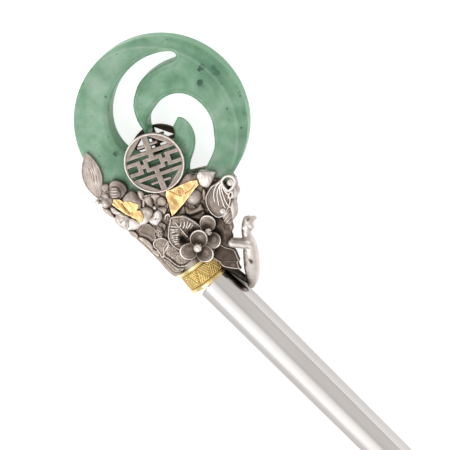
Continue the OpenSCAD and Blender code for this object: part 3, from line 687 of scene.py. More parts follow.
for name, node, z, with_window, step, finish in (
        ("pierced_front_roundel", "front_roundel", FRONT_DISC_Z, True, 0.09, satin),
        ("pierced_back_roundel", "back_roundel", 0, False, 0.13, oxidised)):
    disc = skin(roundel_shape(with_window), (-6.4, -6.4, -0.2), (6.4, 6.4, DISC_T + 0.2), step)
    piece(name, node, placed(disc, (0, 0, FRET_ANGLE), z), finish)


# Band and shaft

def framed(points, slope_deg, turn_deg):
    """Points whose Z runs along the band or the shaft, moved to their place."""
    tilt = math.radians(90 + slope_deg)
    turn = math.radians(turn_deg)
    x, y, z = points.T
    x, z = x * math.cos(tilt) + z * math.sin(tilt), -x * math.sin(tilt) + z * math.cos(tilt)
    x, y = x * math.cos(turn) - y * math.sin(turn), x * math.sin(turn) + y * math.cos(turn)
    return np.column_stack([x + ELBOW[0], y + ELBOW[1], z + BAND_R])


def along_band(x, y):
    """Places along the band's middle line, from its end at the shaft, and beside it."""
    a = math.radians(BAND_ANGLE)
    dx, dy = x - ELBOW[0], y - ELBOW[1]
    return dx * math.cos(a) + dy * math.sin(a), -dx * math.sin(a) + dy * math.cos(a)


def band_height(s, around):
    """The band's surface above its field, from the distance along it and round it."""
    rim = 0.85
    field = BAND_H - 2 * rim
    depth = np.minimum(s, BAND_H - s)
    height = np.where(depth < rim, 0.15, 0.0)
    for groove, wide in ((0.62, 0.045), (0.78, 0.04), (rim, 0.06)):
        height -= 0.09 * hill(depth, groove, wide)
    height -= 0.05 * unit(1 - depth / 0.1)
    # Triangles that point up and down in turn, hatched to one side and to the other
    base = 2 * math.pi * BAND_R / 10
    fold = 1 - np.abs(2 * ((around / base) % 1) - 1)
    edge = (unit((s - rim) / field) - fold) * field * 0.7
    slope = field / (base / 2)
    lean = (around % base - base / 2) * slope
    across = np.where(edge < 0, s - rim + lean, s - rim - lean) / math.hypot(1, slope)
    lines = 0.5 + 0.5 * np.cos(across * 2 * math.pi / 0.44)
    frame_line = hill(edge, 0, 0.11)
    inside = unit((depth - rim - 0.06) / 0.1)
    relief = np.maximum(0.115 * lines ** 0.8, 0.14 * frame_line)
    relief = relief - 0.11 * hill(np.abs(edge), 0.24, 0.07)
    return np.clip(height + inside * np.maximum(relief, -0.02), -0.12, 0.15)


def band_part():
    sides, steps = 500, 84
    inner, outer = BAND_R - 0.55, BAND_R - 0.1
    around = np.arange(sides) / sides * 2 * math.pi
    grid_s, grid_a = np.meshgrid(np.linspace(0, BAND_H, steps), around, indexing="ij")
    r = BAND_R - 0.15 + band_height(grid_s, grid_a * BAND_R)
    rings = [circle(inner, around, 0), circle(outer, around, 0)]
    rings += [circle(r[k], around, grid_s[k]) for k in range(steps)]
    rings += [circle(outer, around, BAND_H), circle(inner, around, BAND_H)]
    points, faces = looped(np.array(rings))
    return framed(points - np.array([0, 0, BAND_H]), 0, BAND_ANGLE), faces


piece("engraved_gold_band", "gold_band", band_part(), gold_wash, sharp=50)


def shaft_part():
    around = np.arange(160) / 160 * 2 * math.pi
    straight = SHAFT_L - SHAFT_TIP_L
    rows = [(SHAFT_R - 0.6, 0.0), (SHAFT_R - 0.12, 0.0), (SHAFT_R, 0.12)]
    rows += [(SHAFT_R + (SHAFT_TIP_R - SHAFT_R) * t, straight * t) for t in np.linspace(0.01, 1, 110)]
    rows += [(SHAFT_TIP_R * math.cos(a), straight + SHAFT_TIP_L * math.sin(a))
             for a in np.radians(np.linspace(4, 87, 22))]
    bend = math.radians(BAND_ANGLE)
    rings = []
    for r, s in rows:
        # The first rings lean to meet the band's end
        lean = 0.14 + np.sin(around) * r * math.tan(bend) * max(0.0, 1 - s / 12)
        rings.append(circle(r, around, s + lean))
    points, faces = turned(np.array(rings))
    return framed(points, SHAFT_SLOPE, 0), faces


piece("polished_shaft", "shaft", shaft_part(), polished, sharp=40)


# Cast ornaments: rounded forms with drawn outlines

def form(corners, base, dome=0.4, reach=0.9, lip=0.0, grit=0.0):
    """A form's edge, its height above its level, and its box.

    Its corners are in tenths. It rises from the base at its edge by the dome over the reach.
    It can have a lip along its edge and grit all over.
    """
    line = smooth_curve(tenths(corners), 5, True)
    low, high = line.min(0) - 0.4, line.max(0) + 0.4
    edge = closed_area(line, low, high, 0.06)

    def height(x, y):
        inner = np.maximum(-edge(x, y), 0)
        share = unit(inner / reach)
        level = base + dome * np.sqrt(1 - (1 - share) ** 2) + lip * hill(inner, 0.17, 0.14)
        if grit:
            level = level + grit * (ripple(x, y, 4.5, 71) + 0.6 * ripple(x, y, 9, 72))
        return level
    return edge, height, low, high


def cast(forms, z0, step, tall, floor=0, marks=None, melt=0.05):
    """Forms on one level joined into one skin. Marks are added to their height."""
    low = np.min([f[2] for f in forms], 0)
    high = np.max([f[3] for f in forms], 0)

    def shape(x, y, z):
        drawn = marks(x, y) if marks else 0
        best = np.full(np.broadcast(x, y, z).shape, 9.0)
        for edge, height, _, _ in forms:
            best = soft_min(best, soft_max(edge(x, y) - 0.06, z - height(x, y) - drawn, 0.12), melt)
        return soft_max(best, floor - z, 0.06)
    points, faces = skin(shape, (*low, floor - 0.2), (*high, tall), step)
    return points + np.array([0, 0, z0]), faces


def diagonals(x, y):
    """Places along the two diagonals of the setting, to the right and upwards in the usual view."""
    return 0.704 * x + 0.697 * y, -0.704 * x + 0.661 * y


def window(value, low, high, soft=0.25):
    return unit((value - low) / soft) * unit((high - value) / soft)


def line_mark(x, y, knots, wide):
    """A soft stroke along a line, 1 at its middle. Its knots are in tenths."""
    knots = tenths(knots)
    best = np.full(np.broadcast(x, y).shape, 9.0)
    for a, b in zip(knots[:-1], knots[1:]):
        best = np.minimum(best, to_line(x, y, a, b))
    return hill(best, 0, wide)


# Setting

# The fan's outline at its front and its back, in thousandths of its length and its width in turn
FAN_SIDES = [-50, -645, 250, -645, 550, -642, 820, -638, 860, -440, 870, -240, 890, -100, 800, 100,
             700, 240]
FAN_FRONT = FAN_SIDES + [600, 350, 500, 335, 380, 220, 270, 80, 200, -150, 80, -360, -60, -430, -90, -560]
FAN_BACK = FAN_SIDES + [580, 350, 440, 360, 340, 220, 250, 50, 140, -200, 20, -340, -100, -440, -110, -560]
# The box of the setting's top in the plane
FAN_LOW = (-4, -16)
FAN_HIGH = (23, 10)


def fan_shape(rows):
    line = smooth_curve(np.reshape(rows, (-1, 2)) / 1000 * (FAN_L, FAN_W), 6, True)
    return closed_area(line, FAN_LOW, FAN_HIGH, 0.12)


fan_front = fan_shape(FAN_FRONT)
fan_back = fan_shape(FAN_BACK)

# Low cast leaves on the setting's top: root x, root y, direction, length, width, height, grain
LOW_LEAVES = [
    (20.4, -2.6, 62, 5.4, 3.2, 0.45, 0), (19.2, 0.4, 80, 4.4, 2.6, 0.35, 0),
    (9.2, 2.2, 165, 3.6, 3.0, 0.5, 0), (12.6, -1.0, 205, 4.0, 2.4, 0.3, 0),
    (8.4, -4.6, 200, 3.4, 2.6, 0.35, 0), (4.6, -6.6, 150, 4.2, 2.8, 0.45, 0),
    (2.6, -8.6, 128, 4.0, 2.6, 0.4, 0), (14.4, 0.6, 95, 4.2, 2.2, 0.4, 0),
    (10.6, -7.6, 250, 3.6, 2.4, 0.35, 1), (17.2, 4.4, 118, 3.8, 1.9, 0.45, 0)]
EDGE_FORMS = [
    form([-10, -144, -6, -141, 1, -137, 9, -136, 18, -138, 27, -141, 20, -145, 11, -147, 0, -148],
         0.2, 0.35, 0.4),
    form([62, -141, 67, -134, 75, -131, 83, -132, 85, -138, 79, -143, 70, -143], 0.35, 0.2, 0.4, 0.06),
    form([86, -135, 90, -129, 98, -126, 108, -124, 118, -126, 125, -129, 132, -126, 143, -131, 139, -136,
          128, -137, 116, -135, 104, -135, 94, -136], 0.3, 0.2, 0.4, 0.05),
    form([115, -123, 112, -118, 112, -111, 115, -104, 120, -98, 128, -95, 137, -97, 143, -106, 145, -116,
          151, -126, 147, -130, 138, -128, 130, -126, 123, -127], 0.4, 0.12, 1.0, 0.25, 0.045),
    form([148, -130, 153, -127, 162, -124, 176, -123, 187, -120, 195, -111, 197, -118, 192, -128,
          185, -133, 174, -133, 161, -133], 0.2, 0.15, 0.5, 0.1, 0.04),
    form([104, 32, 108, 35, 116, 33, 123, 24, 124, 16, 117, 18, 109, 25], 0.2, 0.4, 0.6),
    form([188, 24, 194, 25, 202, 21, 206, 16, 206, 11, 198, 14, 192, 19], 0.2, 0.3, 0.4),
]
corner_fill = form([-26, -134, -31, -124, -35, -115, -33, -108, -30, -101, -16, -96, 0, -116, -10, -138],
                   0)[0]


def low_relief(x, y):
    height = 0.05 * ripple(x, y, 1.3, 3)
    rough = 0.6 * ripple(x, y, 2.4, 4) + 0.4 * ripple(x, y, 4.6, 6)
    for x0, y0, angle, length, width, rise, grainy in LOW_LEAVES:
        c, s = math.cos(math.radians(angle)), math.sin(math.radians(angle))
        along = ((x - x0) * c + (y - y0) * s) / length
        half = width / 2 * np.sin(np.pi * np.clip(along, 0.001, 0.999) ** 0.8) ** 0.7
        across = (-(x - x0) * s + (y - y0) * c) / np.maximum(half, 0.05)
        edge = unit((1 - np.abs(across)) * half / 0.18) * ((along > 0) & (along < 1))
        veins = 0.05 * np.cos(2 * np.pi * (along * 7 - np.abs(across) * 1.6)) * (1 - grainy)
        lip = 0.2 * hill((1 - np.abs(across)) * half, 0.2, 0.12)
        lift = rise * (0.72 + 0.2 * (1 - across ** 2)) + lip + veins + 0.07 * grainy * rough
        lift += 0.1 * hill(across * half, 0, 0.12) * (1 - grainy)
        height = np.where(edge > 0, np.maximum(height, lift * edge), height)
    for edge, rise, _, _ in EDGE_FORMS:
        height = np.where(edge(x, y) < 0, np.maximum(height, rise(x, y)), height)
    return height


relief = sampled(low_relief, FAN_LOW, FAN_HIGH, 0.07)


def edge_limit(x, y):
    """Where the top relief may stand: over the fan, and where a form juts out past it."""
    limit = fan_front(x, y) + 0.12
    for edge, _, _, _ in EDGE_FORMS:
        limit = np.minimum(limit, edge(x, y))
    return limit


limit = sampled(edge_limit, FAN_LOW, FAN_HIGH, 0.1)


def setting_shape(x, y, z):
    front, back = np.minimum(fan_front(x, y), corner_fill(x, y)), fan_back(x, y)
    jade_in = np.hypot(x - JADE_AT[0], y - JADE_AT[1]) - JADE_R - 0.05
    body = soft_max(front, np.maximum(z - BED_Z - 0.02, 0.2 - z), 0.5)
    plate = soft_max(back, np.maximum(z - 0.98, 0.15 - z), 0.3)
    base = np.minimum(body, plate)
    near = np.abs(base) < 0.9
    bumps = np.zeros(base.shape)
    if near.any():
        nx, ny, nz = np.broadcast_arrays(x, y, z)
        bumps[near] = 0.42 * (0.62 - lumps(nx[near], ny[near], nz[near] * 0.8, 2.5, 2))
        bumps[near] += 0.05 * noise(nx[near] * 3, ny[near] * 3, nz[near] * 3, 8)
    side = unit((BED_Z - 0.3 - z) / 0.8) * unit((z - 0.5) / 0.6)
    base = base + 0.18 * side - bumps * (0.35 + 0.65 * side) * (z < BED_Z - 0.1)
    top = z - BED_Z - relief(x, y)
    base = soft_min(base, soft_max(limit(x, y), np.maximum(top, 6.9 - z), 0.15), 0.1)
    pocket = np.maximum(jade_in, np.abs(z - POCKET_Z) - POCKET_HALF)
    recess = np.maximum(np.hypot(x, y) - RECESS_R, z - RECESS_H)
    base = np.maximum(base, -np.minimum(pocket, recess))
    base = with_lumps(base, x, y, z, [(-0.2, (13.1, 7.6, 9.9), (13.4, 6.7, 7.2), 0.95, 0.95)])
    return np.maximum(base, along_band(x, y)[0] + BAND_H + 0.03)


def neck_part():
    around = np.arange(64) / 64 * 2 * math.pi
    points, faces = turned(np.array([circle(NECK_R, around, s) for s in (-BAND_H - 1, -0.1)]))
    return framed(points, 0, BAND_ANGLE), faces


setting_part = skin(setting_shape, (-3.9, -15.3, -0.2), (22.6, 9.4, 9.2), SETTING_STEP)
piece("cast_setting", "setting", joined([setting_part, neck_part()]), oxidised)


# Twig

TWIG = [(31.5, -4.5, 5.4, 0.85), (30.5, -3.1, 6.2, 1.3), (28.9, -1.5, 6.9, 1.58), (27.2, 0.1, 7.6, 1.62),
        (25.7, 1.5, 8.2, 1.5), (24.3, 2.5, 8.4, 1.15), (22.9, 3.2, 8.5, 0.97), (22.1, 4.2, 8.6, 1.12),
        (21.4, 5.3, 8.7, 1.12)]
twig_line = smooth_curve(TWIG, 3)

# Lumps of the twig: how far they melt in, two places or a place and radii, then a bar's two radii
TWIG_LUMPS = [
    (0.3, (21.5, 5.9, 8.8), (21.8, 6.8, 8.8), 0.75, 0.42), (0.25, (22.3, 5.1, 9.3), (0.9, 0.8, 0.7)),
    (0.2, (21.7, 3.7, 9.3), (22.9, 4.9, 9.2), 0.35, 0.3),
    (-0.2, (20.7, 6.2, 9.6), (21.6, 6.2, 9.7), 0.25, 0.2), (-0.15, (21.0, 5.7, 9.75), (0.3, 0.3, 0.3)),
    (-0.2, (27.8, -0.2, 9.15), (0.85, 0.3, 0.3)), (-0.2, (25.3, 1.4, 9.95), (0.5, 0.3, 0.3)),
    (0.3, (24.6, -4.9, 7.1), (30.6, -4.5, 5.4), 0.95, 0.6)]


def twig_shape(x, y, z):
    d = np.full(np.broadcast(x, y, z).shape, 9.0)
    for a, b in zip(twig_line[:-1], twig_line[1:]):
        d = np.minimum(d, round_bar(x, y, z, a[:3], b[:3], a[3], b[3]))
    side = round_bar(x, y, z, (22.25, -0.15, 9.5), (25.2, 2.2, 8.9), 0.86, 0.95)
    side = soft_min(side, round_bar(x, y, z, (21.9, 0.5, 9.7), (24.4, 2.7, 9.3), 0.5, 0.6), 0.15)
    d = with_lumps(soft_min(d, side, 0.4), x, y, z, TWIG_LUMPS)
    return d + 0.04 * noise(x * 0.9, y * 0.9, z * 0.9, 14)


piece("cast_twig", "twig", skin(twig_shape, (19.6, -6.2, 4.0), (33.0, 7.6, 11.0), TWIG_STEP), bright)


# Leaves

def brushed_leaf(length=10, width=4.2, thick=0.88, lines=130, across_lines=64):
    """A closed leaf along X from its root, with a rolled lip, fine brush strokes and a few deep ones."""
    bend, cup, arch, lip, brush = 0.02, -0.1, 0.1, 0.05, 0.014
    t = 0.5 - 0.5 * np.cos(np.linspace(0.03, np.pi - 0.03, lines))
    t = 0.55 * t + 0.45 * np.linspace(0.005, 0.995, lines)
    v = np.sin(np.linspace(-np.pi / 2, np.pi / 2, across_lines))
    v = 0.5 * v + 0.5 * np.linspace(-1, 1, across_lines)
    grid_t, grid_v = np.meshgrid(t, v, indexing="ij")
    half = np.maximum(width / 2 * np.sin(np.pi * grid_t) ** 0.8, 0.03)
    x = grid_t * length
    y = grid_v * half + 4 * bend * length * grid_t * (1 - grid_t)
    inward = (1 - np.abs(grid_v)) * half
    z = thick * 0.72 + cup * thick * (grid_v ** 2) + arch * 4 * grid_t * (1 - grid_t) * thick
    z = z + lip * hill(inward, 0.17, 0.12) * 1.4
    z = z + brush * noise(x * 0.5, y * 7 + x * 0.4, 0, 24)
    for x0, x1, y0 in ((4.6, 7.0, 0.3), (3.6, 6.4, -0.15), (3.2, 5.4, -0.7), (5.6, 7.6, -0.5)):
        z = z - 0.07 * window(x, x0, x1, 0.4) * hill(y - y0, 0.06 * np.sin(x * 2), 0.06)
    z = z + 0.03 * ripple(x, y, 1.2, 23) * thick
    edge = unit(inward / 0.14)
    top = np.maximum(z * np.sqrt(edge) * 0.35 + z * 0.65, 0.16)
    low = np.minimum(0.04, top - 0.12)
    return sheet_solid(np.stack([x, y, top], -1), np.stack([x, y, low], -1))


piece("brushed_left_leaf", "left_leaf", placed(brushed_leaf(), (-2.35, -13.85, 149), 7.27), satin)


HEART_RIB = [115, -54, 121, -55, 127, -55, 138, -56, 147, -57, 152, -57]
HEART_RIDGES = [
    [115, -66, 120, -61, 126, -56], [119, -71, 124, -66, 127, -61], [124, -73, 127, -69, 129, -64],
    [130, -78, 133, -73, 137, -67], [133, -81, 136, -76, 139, -72], [137, -83, 140, -78, 144, -73],
    [141, -84, 144, -80, 146, -76], [146, -86, 148, -82, 150, -80], [123, -45, 127, -52],
    [127, -40, 131, -44, 133, -50], [132, -36, 135, -41, 137, -46], [137, -33, 139, -38, 140, -44],
    [143, -33, 144, -38]]
heart_form = form([102, -58, 101, -53, 105, -46, 111, -38, 116, -32, 125, -28, 135, -25, 144, -23,
                   154, -22, 162, -25, 168, -37, 168, -52, 166, -64, 165, -77, 163, -87, 157, -91,
                   150, -93, 141, -93, 133, -91, 124, -86, 118, -79, 111, -71, 107, -64],
                  0.42, 0.1, 1.2, 0.24)


def heart_drawing(x, y):
    u, v = diagonals(x, y)
    ridges = 0 * u
    for line in HEART_RIDGES:
        ridges = np.maximum(ridges, line_mark(x, y, line, 0.19))
    ridges = ridges * np.clip(0.9 + 0.5 * ripple(x, y, 2, 86), 0.5, 1.2)
    hollow = np.exp(-(((x - 14.9) / 0.9) ** 2 + ((y + 6.9) / 0.7) ** 2))
    bare = unit((-heart_form[0](x, y) - 0.3) / 0.2)
    relief = 0.2 * ridges + 0.025 * noise(u * 3, v * 1.6, 0, 82) - 0.12 * hollow
    return bare * relief + 0.2 * line_mark(x, y, HEART_RIB, 0.15)


heart_marks = sampled(heart_drawing, heart_form[2], heart_form[3], 0.04)
piece("veined_heart_leaf", "heart_leaf",
      cast([heart_form], HIGH_Z, step=0.075, tall=1.1, marks=heart_marks), oxidised)

lower_form = form([145, -123, 139, -118, 134, -111, 132, -103, 132, -94, 142, -91, 157, -89, 179, -91,
                   194, -86, 199, -88, 197, -96, 195, -105, 190, -114, 184, -119, 176, -121, 168, -122,
                   159, -123, 152, -125], 0.42, 0.12, 1.5, 0.27, 0.045)


def lower_marks(x, y):
    inner = -lower_form[0](x, y)
    return -0.14 * hill(inner, 0.52, 0.15) + 0.05 * ripple(x, y, 1.6, 83)


piece("grained_lower_leaf", "lower_left_leaf",
      cast([lower_form], LOW_Z, step=0.075, tall=1.1, marks=lower_marks), oxidised)

right_form = form([214, -53, 209, -45, 205, -35, 207, -26, 212, -21, 220, -19, 227, -14, 235, -10,
                   243, -11, 252, -15, 259, -18, 261, -23, 267, -27, 274, -29, 268, -36, 258, -44,
                   251, -49, 243, -52, 235, -51, 226, -53], 0.5, 0.12, 1.0, 0.15, 0.006)


def right_marks(x, y):
    u, v = diagonals(x, y)
    veins = np.cos(2 * np.pi * (0.5 * u + 0.87 * v) / 0.42)
    rib = line_mark(x, y, [217, -54, 237, -46, 259, -21], 0.1)
    return 0.007 * veins * unit((-right_form[0](x, y) - 0.3) / 0.3) + 0.07 * rib


piece("veined_right_leaf", "right_leaf",
      cast([right_form], LOW_Z, step=0.075, tall=1.2, floor=-0.5, marks=right_marks), oxidised)

dark_form = form([169, 8, 170, 16, 178, 16, 188, 15, 195, 18, 204, 16, 208, 10, 215, 7, 219, 0, 219, -7,
                  228, -9, 236, -11, 228, -20, 219, -27, 210, -33, 200, -32, 197, -17, 192, -7, 181, -4],
                 0.32, 0.16, 1.4, 0.04, 0.008)


def dark_marks(x, y):
    u, v = diagonals(x, y)
    veins = np.cos(2 * np.pi * (0.9 * u + 0.4 * v) / 0.42)
    return 0.005 * veins + 0.04 * line_mark(x, y, [182, 12, 200, -2, 226, -14], 0.12)


piece("dark_veined_leaf", "dark_leaf",
      cast([dark_form], LOW_Z, step=0.08, tall=1.0, floor=-0.6, marks=dark_marks), oxidised)
piece("smooth_broad_leaf", "broad_leaf", cast([form(
    [77, -123, 75, -114, 76, -105, 82, -99, 91, -98, 97, -97, 103, -105, 111, -109, 110, -117, 100, -118,
     90, -122, 82, -125], 0.55, -0.16, 1.1, 0.04)], LOW_Z, step=0.09, tall=0.9), oxidised)


def pleats(x, y):
    u, v = diagonals(x, y)
    return 0.008 * np.cos(2 * np.pi * (u + 0.25 * v) / 0.62) + 0.07 * noise(u * 1.6, v * 1.0, 0, 84)


piece("pleated_small_leaf", "small_leaf", cast([form(
    [75, 47, 75, 53, 80, 59, 87, 66, 97, 74, 101, 69, 106, 62, 109, 53, 111, 45, 108, 40, 100, 36, 92, 35,
     85, 37, 78, 42], 0.5, 0.3, 0.9, 0.03)], LOW_Z, step=0.08, tall=1.2, floor=-0.8, marks=pleats), satin)
piece("curved_strips", "leaf_strips", cast([
    form([108, -25, 106, -17, 116, -15, 123, -6, 123, 7, 131, 7, 137, 4, 134, -5, 130, -16, 125, -25,
          118, -29], 0.3, 0.4, 0.6),
    form([128, -28, 132, -17, 136, -7, 137, 1, 145, 0, 149, -8, 146, -18, 140, -23, 133, -27],
         0.22, 0.36, 0.6),
    form([105, -45, 104, -35, 101, -21, 109, -20, 117, -27, 118, -35, 113, -42], 0.3, 0.5, 0.7)], LOW_Z,
    step=0.09, tall=1.2), oxidised)
piece("smooth_pod_leaves", "pod_leaf", cast([
    form([158, 60, 162, 65, 162, 75, 159, 82, 152, 86, 145, 86, 138, 87, 142, 76, 146, 66],
         0.35, 0.5, 0.9),
    form([160, 53, 160, 59, 166, 62, 174, 59, 183, 52, 189, 44, 191, 34, 190, 27, 181, 30, 168, 38],
         0.35, 0.55, 0.9),
    form([130, 94, 134, 97, 140, 92, 144, 86, 139, 86], 0.3, 0.3, 0.4)], LOW_Z, step=0.09, tall=1.2,
    floor=-0.85), satin)


# Blossoms and buds

def petal_part(length, width, rise, inner, seed, sides=72):
    """A cupped petal along X from its root, with a broad rolled rim."""
    knots = [(0, inner), (0.2, inner + 0.04), (0.45, inner + 0.17), (0.65, inner + 0.38), (0.78, 0.8),
             (0.85, 0.94), (0.92, 1.0), (0.98, 0.94), (1.0, 0.82), (0.98, 0.68), (0.9, 0.42), (0.76, 0.12),
             (0.62, 0.0), (0.3, 0), (0, 0)]
    profile = smooth_curve(knots, 3)
    around = np.arange(sides) / sides * 2 * math.pi
    rings = []
    for share, high in profile[1:-1]:
        share = max(share, 0.02)
        wide = np.abs(np.sin(around)) ** 0.96 * np.sign(np.sin(around)) * width / 2
        far = np.cos(around) * length / 2
        reach = 1 + 0.02 * np.sin(around * 3 + seed)
        lift = 1 + 0.12 * np.cos(around) * share
        x = length * (0.5 - 0.06 * (1 - share)) + far * share * reach
        y = wide * share * reach
        rings.append(np.column_stack([x, y, np.minimum(rise * high * lift, rise * 1.04)]))
    points, faces = turned(np.array(rings)[::-1])
    points = points + np.column_stack([np.zeros(len(points)), np.zeros(len(points)),
                                       0.03 * rise * noise(*(points.T * 1.6), seed)])
    return points, faces


def blossom(rows, length, width, rise, start, inner):
    parts = []
    for k, (angle, long_share, wide_share) in enumerate(rows):
        seed = k * 3 + angle % 7
        points, faces = petal_part(length * long_share, width * wide_share, rise, inner, seed)
        parts.append(placed((points + np.array([start, 0, 0]), faces), (0, 0, angle), 0.02 * k))
    return parts


main_parts = blossom([(128, 1, 1), (-112, 1, 0.95), (8, 0.95, 0.97)], 3.75, 3.65, 1.5, 0.05, 0.26)
main_parts.append(ball_mesh((0, 0, 1.5), (0.84, 0.84, 0.78), 18, 28))
main_parts.append(ball_mesh((0, 0, 0.5), (1.0, 1.0, 0.5)))
piece("main_cupped_blossom", "main_blossom", placed(joined(main_parts), (18.1, -5.35), CROWN_Z), oxidised)
rear_parts = blossom([(139, 1, 1), (-15, 1, 1)], 3.45, 3.25, 0.95, 0.1, 0.3)
for middle, radii in (((0.1, -0.2, 0.6), (0.55, 0.42, 0.5)), ((-0.55, -0.3, 0.4), (0.35, 0.35, 0.4)),
                      ((0.6, -0.4, 0.4), (0.3, 0.35, 0.4))):
    rear_parts.append(ball_mesh(middle, radii))
piece("rear_cupped_blossom", "rear_blossom", placed(joined(rear_parts), (17.4, -1.9), HIGH_Z), oxidised)


def lobe_marks(x, y):
    creases = line_mark(x, y, [39, -138, 39, -125], 0.1) + line_mark(x, y, [56, -132, 46, -123], 0.1)
    return -0.12 * creases + 0.06 * ripple(x, y, 1.3, 85)


piece("left_domed_blossom", "left_blossom", cast([
    form([10, -104, 6, -94, 6, -84, 9, -75, 17, -73, 27, -75, 36, -78, 44, -85, 45, -96, 34, -105,
          20, -108], 0.5, 0.42, 1.1),
    form([50, -94, 48, -87, 51, -79, 57, -74, 66, -73, 72, -79, 75, -88, 77, -98, 75, -107, 69, -111,
          58, -107], 0.5, 0.45, 1.0),
    form([46, -123, 49, -115, 59, -111, 71, -109, 73, -118, 71, -126, 65, -134, 59, -139, 50, -130],
         0.5, 0.42, 1.0),
    form([24, -141, 23, -133, 27, -124, 35, -121, 44, -119, 50, -127, 58, -138, 57, -142, 48, -145,
          37, -146, 29, -145], 0.45, 0.38, 0.9),
    form([4, -131, 8, -126, 18, -125, 29, -122, 40, -119, 36, -125, 24, -131, 16, -136, 9, -135],
         0.5, 0.2, 0.4)], LOW_Z, step=0.085, tall=1.3, floor=-0.3, marks=lobe_marks, melt=0.4), dark_satin)
small_parts = cast([
    form([37, -69, 37, -61, 42, -55, 49, -57, 58, -62, 63, -69, 56, -73, 47, -74], 0.22, 0.45, 0.6),
    form([42, -55, 42, -47, 48, -42, 55, -41, 57, -49, 61, -59, 53, -58], 0.2, 0.4, 0.6),
    form([56, -52, 56, -43, 61, -38, 70, -37, 76, -42, 76, -50, 69, -57, 63, -59], 0.22, 0.5, 0.8),
    form([68, -62, 71, -56, 77, -50, 83, -48, 88, -54, 89, -62, 82, -63, 73, -65], 0.22, 0.45, 0.6),
    form([52, -77, 57, -72, 64, -70, 69, -73, 65, -76, 57, -77], 0.2, 0.3, 0.4),
    form([18, -69, 20, -62, 26, -60, 33, -64, 38, -72, 35, -76, 26, -75], 0.2, 0.45, 0.7),
    form([35, -70, 40, -69, 49, -78, 49, -84, 42, -80], 0.2, 0.35, 0.4)], LOW_Z, step=0.08, tall=1.1,
    melt=0.3)
small_bead = ball_mesh((6.5, -6.6, LOW_Z + 0.5), (0.38, 0.38, 0.42), 12, 18)
piece("small_domed_blossom", "small_blossom", joined([small_parts, small_bead]), oxidised)
piece("middle_cupped_petal", "middle_petal", cast([form(
    [67, 0, 62, 14, 60, 25, 61, 32, 65, 37, 71, 39, 75, 44, 84, 38, 89, 27, 84, 12, 77, 2], 0.3, 0.6, 1.2)],
    LOW_Z, step=0.09, tall=1.2, floor=-0.85), oxidised)


def bright_marks(x, y):
    folds = line_mark(x, y, [82, -80, 78, -70], 0.12) + line_mark(x, y, [82, -80, 89, -72], 0.1)
    return -0.16 * folds + 0.1 * ripple(x, y, 1.4, 41)


piece("cracked_bright_bud", "bright_bud", cast([form(
    [75, -94, 73, -88, 74, -82, 71, -75, 71, -67, 75, -62, 82, -62, 88, -66, 93, -74, 95, -82, 95, -89,
     90, -94, 82, -96], 0.3, 1.05, 1.15)], LOW_Z, step=0.08, tall=1.8, marks=bright_marks), bright)


def low_ornament(shape, low, high, step):
    points, faces = skin(shape, low, high, step)
    return points + np.array([0, 0, LOW_Z]), faces


def dome_bud_shape(x, y, z):
    d = ellipsoid(x, y, z, (10.4, 0.6, 0.0), (1.72, 1.82, 1.0))
    d = with_lumps(d, x, y, z, [(-0.12, (9.8, 0.1, 1.02), (10.6, 0.9, 1.04), 0.1, 0.06)])
    return soft_max(d, -z, 0.12) + 0.03 * noise(x * 1.8, y * 1.8, z * 1.8, 42)


piece("slit_dome_bud", "dome_bud",
      low_ornament(dome_bud_shape, (8.4, -1.5, -0.2), (12.4, 2.7, 1.3), 0.085), satin)

bud_form = form([-24, -105, -26, -100, -23, -94, -17, -90, -9, -91, -2, -94, 1, -101, -1, -109, -9, -115,
                 -17, -113], 0.55, 0.45, 0.8)


def bud_marks(x, y):
    u, v = diagonals(x, y)
    bend = 0.12 * ripple(x, y, 1.1, 88)
    ridges = 0.5 + 0.5 * np.cos(2 * np.pi * ((v + 5.56) / 0.6 + bend))
    ridges = ridges * np.clip(0.8 + noise(x, y, 0, 89), 0.35, 1.1)
    inner = unit((-bud_form[0](x, y) - 0.1) / 0.25)
    return 0.2 * ridges * window(u, -9.2 + bend, -7.2 + bend, 0.5) * inner


piece("ridged_bud", "ribbed_bud", cast([bud_form, form(
    [-30, -101, -33, -94, -32, -88, -26, -82, -18, -78, -11, -77, -5, -78, 1, -81, 4, -89, 5, -98, 4, -106,
     -4, -116, -15, -115], 0.3, 0.42, 0.9, 0.06),
    form([-39, -116, -40, -110, -36, -104, -30, -102, -25, -110, -28, -119], 0.1, 0.2, 0.4)], LOW_Z,
    step=0.08, tall=1.5, floor=-0.85, marks=bud_marks), dark_satin)


# Lumps of the left buds, in the same way as the twig's
LEFT_LUMPS = [
    (-0.12, (-0.6, -12.6, 1.1), (-0.1, -13.2, 1.0), 0.12, 0.1),
    (0.4, (-0.55, -12.2, 0.2), (0.75, 0.8, 0.6)), (0.4, (-1.8, -12.3, 0.0), (0.75, 0.75, 0.5)),
    (0.15, (0.4, -14.2, -0.1), (0.9, 0.6, 0.6)), (0.3, (-2.0, -13.4, -0.1), (0.6, 0.5, 0.4)),
    (0.1, (-2.3, -14.3, 0.3), (0.56, 0.56, 0.56)),
    (0.15, (-2.3, -14.3, 0.2), (-1.2, -13.5, 0.2), 0.28, 0.3)]


def left_buds_shape(x, y, z):
    d = with_lumps(ellipsoid(x, y, z, (-0.9, -13.2, 0.25), (1.0, 0.95, 0.85)), x, y, z, LEFT_LUMPS)
    return soft_max(d, -0.5 - z, 0.12) + 0.04 * noise(x * 2, y * 2, z * 2, 44)


piece("lumpy_left_buds", "left_buds",
      low_ornament(left_buds_shape, (-3.2, -15.1, -0.7), (1.6, -11.0, 1.5), 0.08), dark_satin)


def grains(x, y):
    return 0.18 * (0.55 - lumps(x, y, 0, 0.5, 45)) + 0.04 * ripple(x, y, 5, 46)


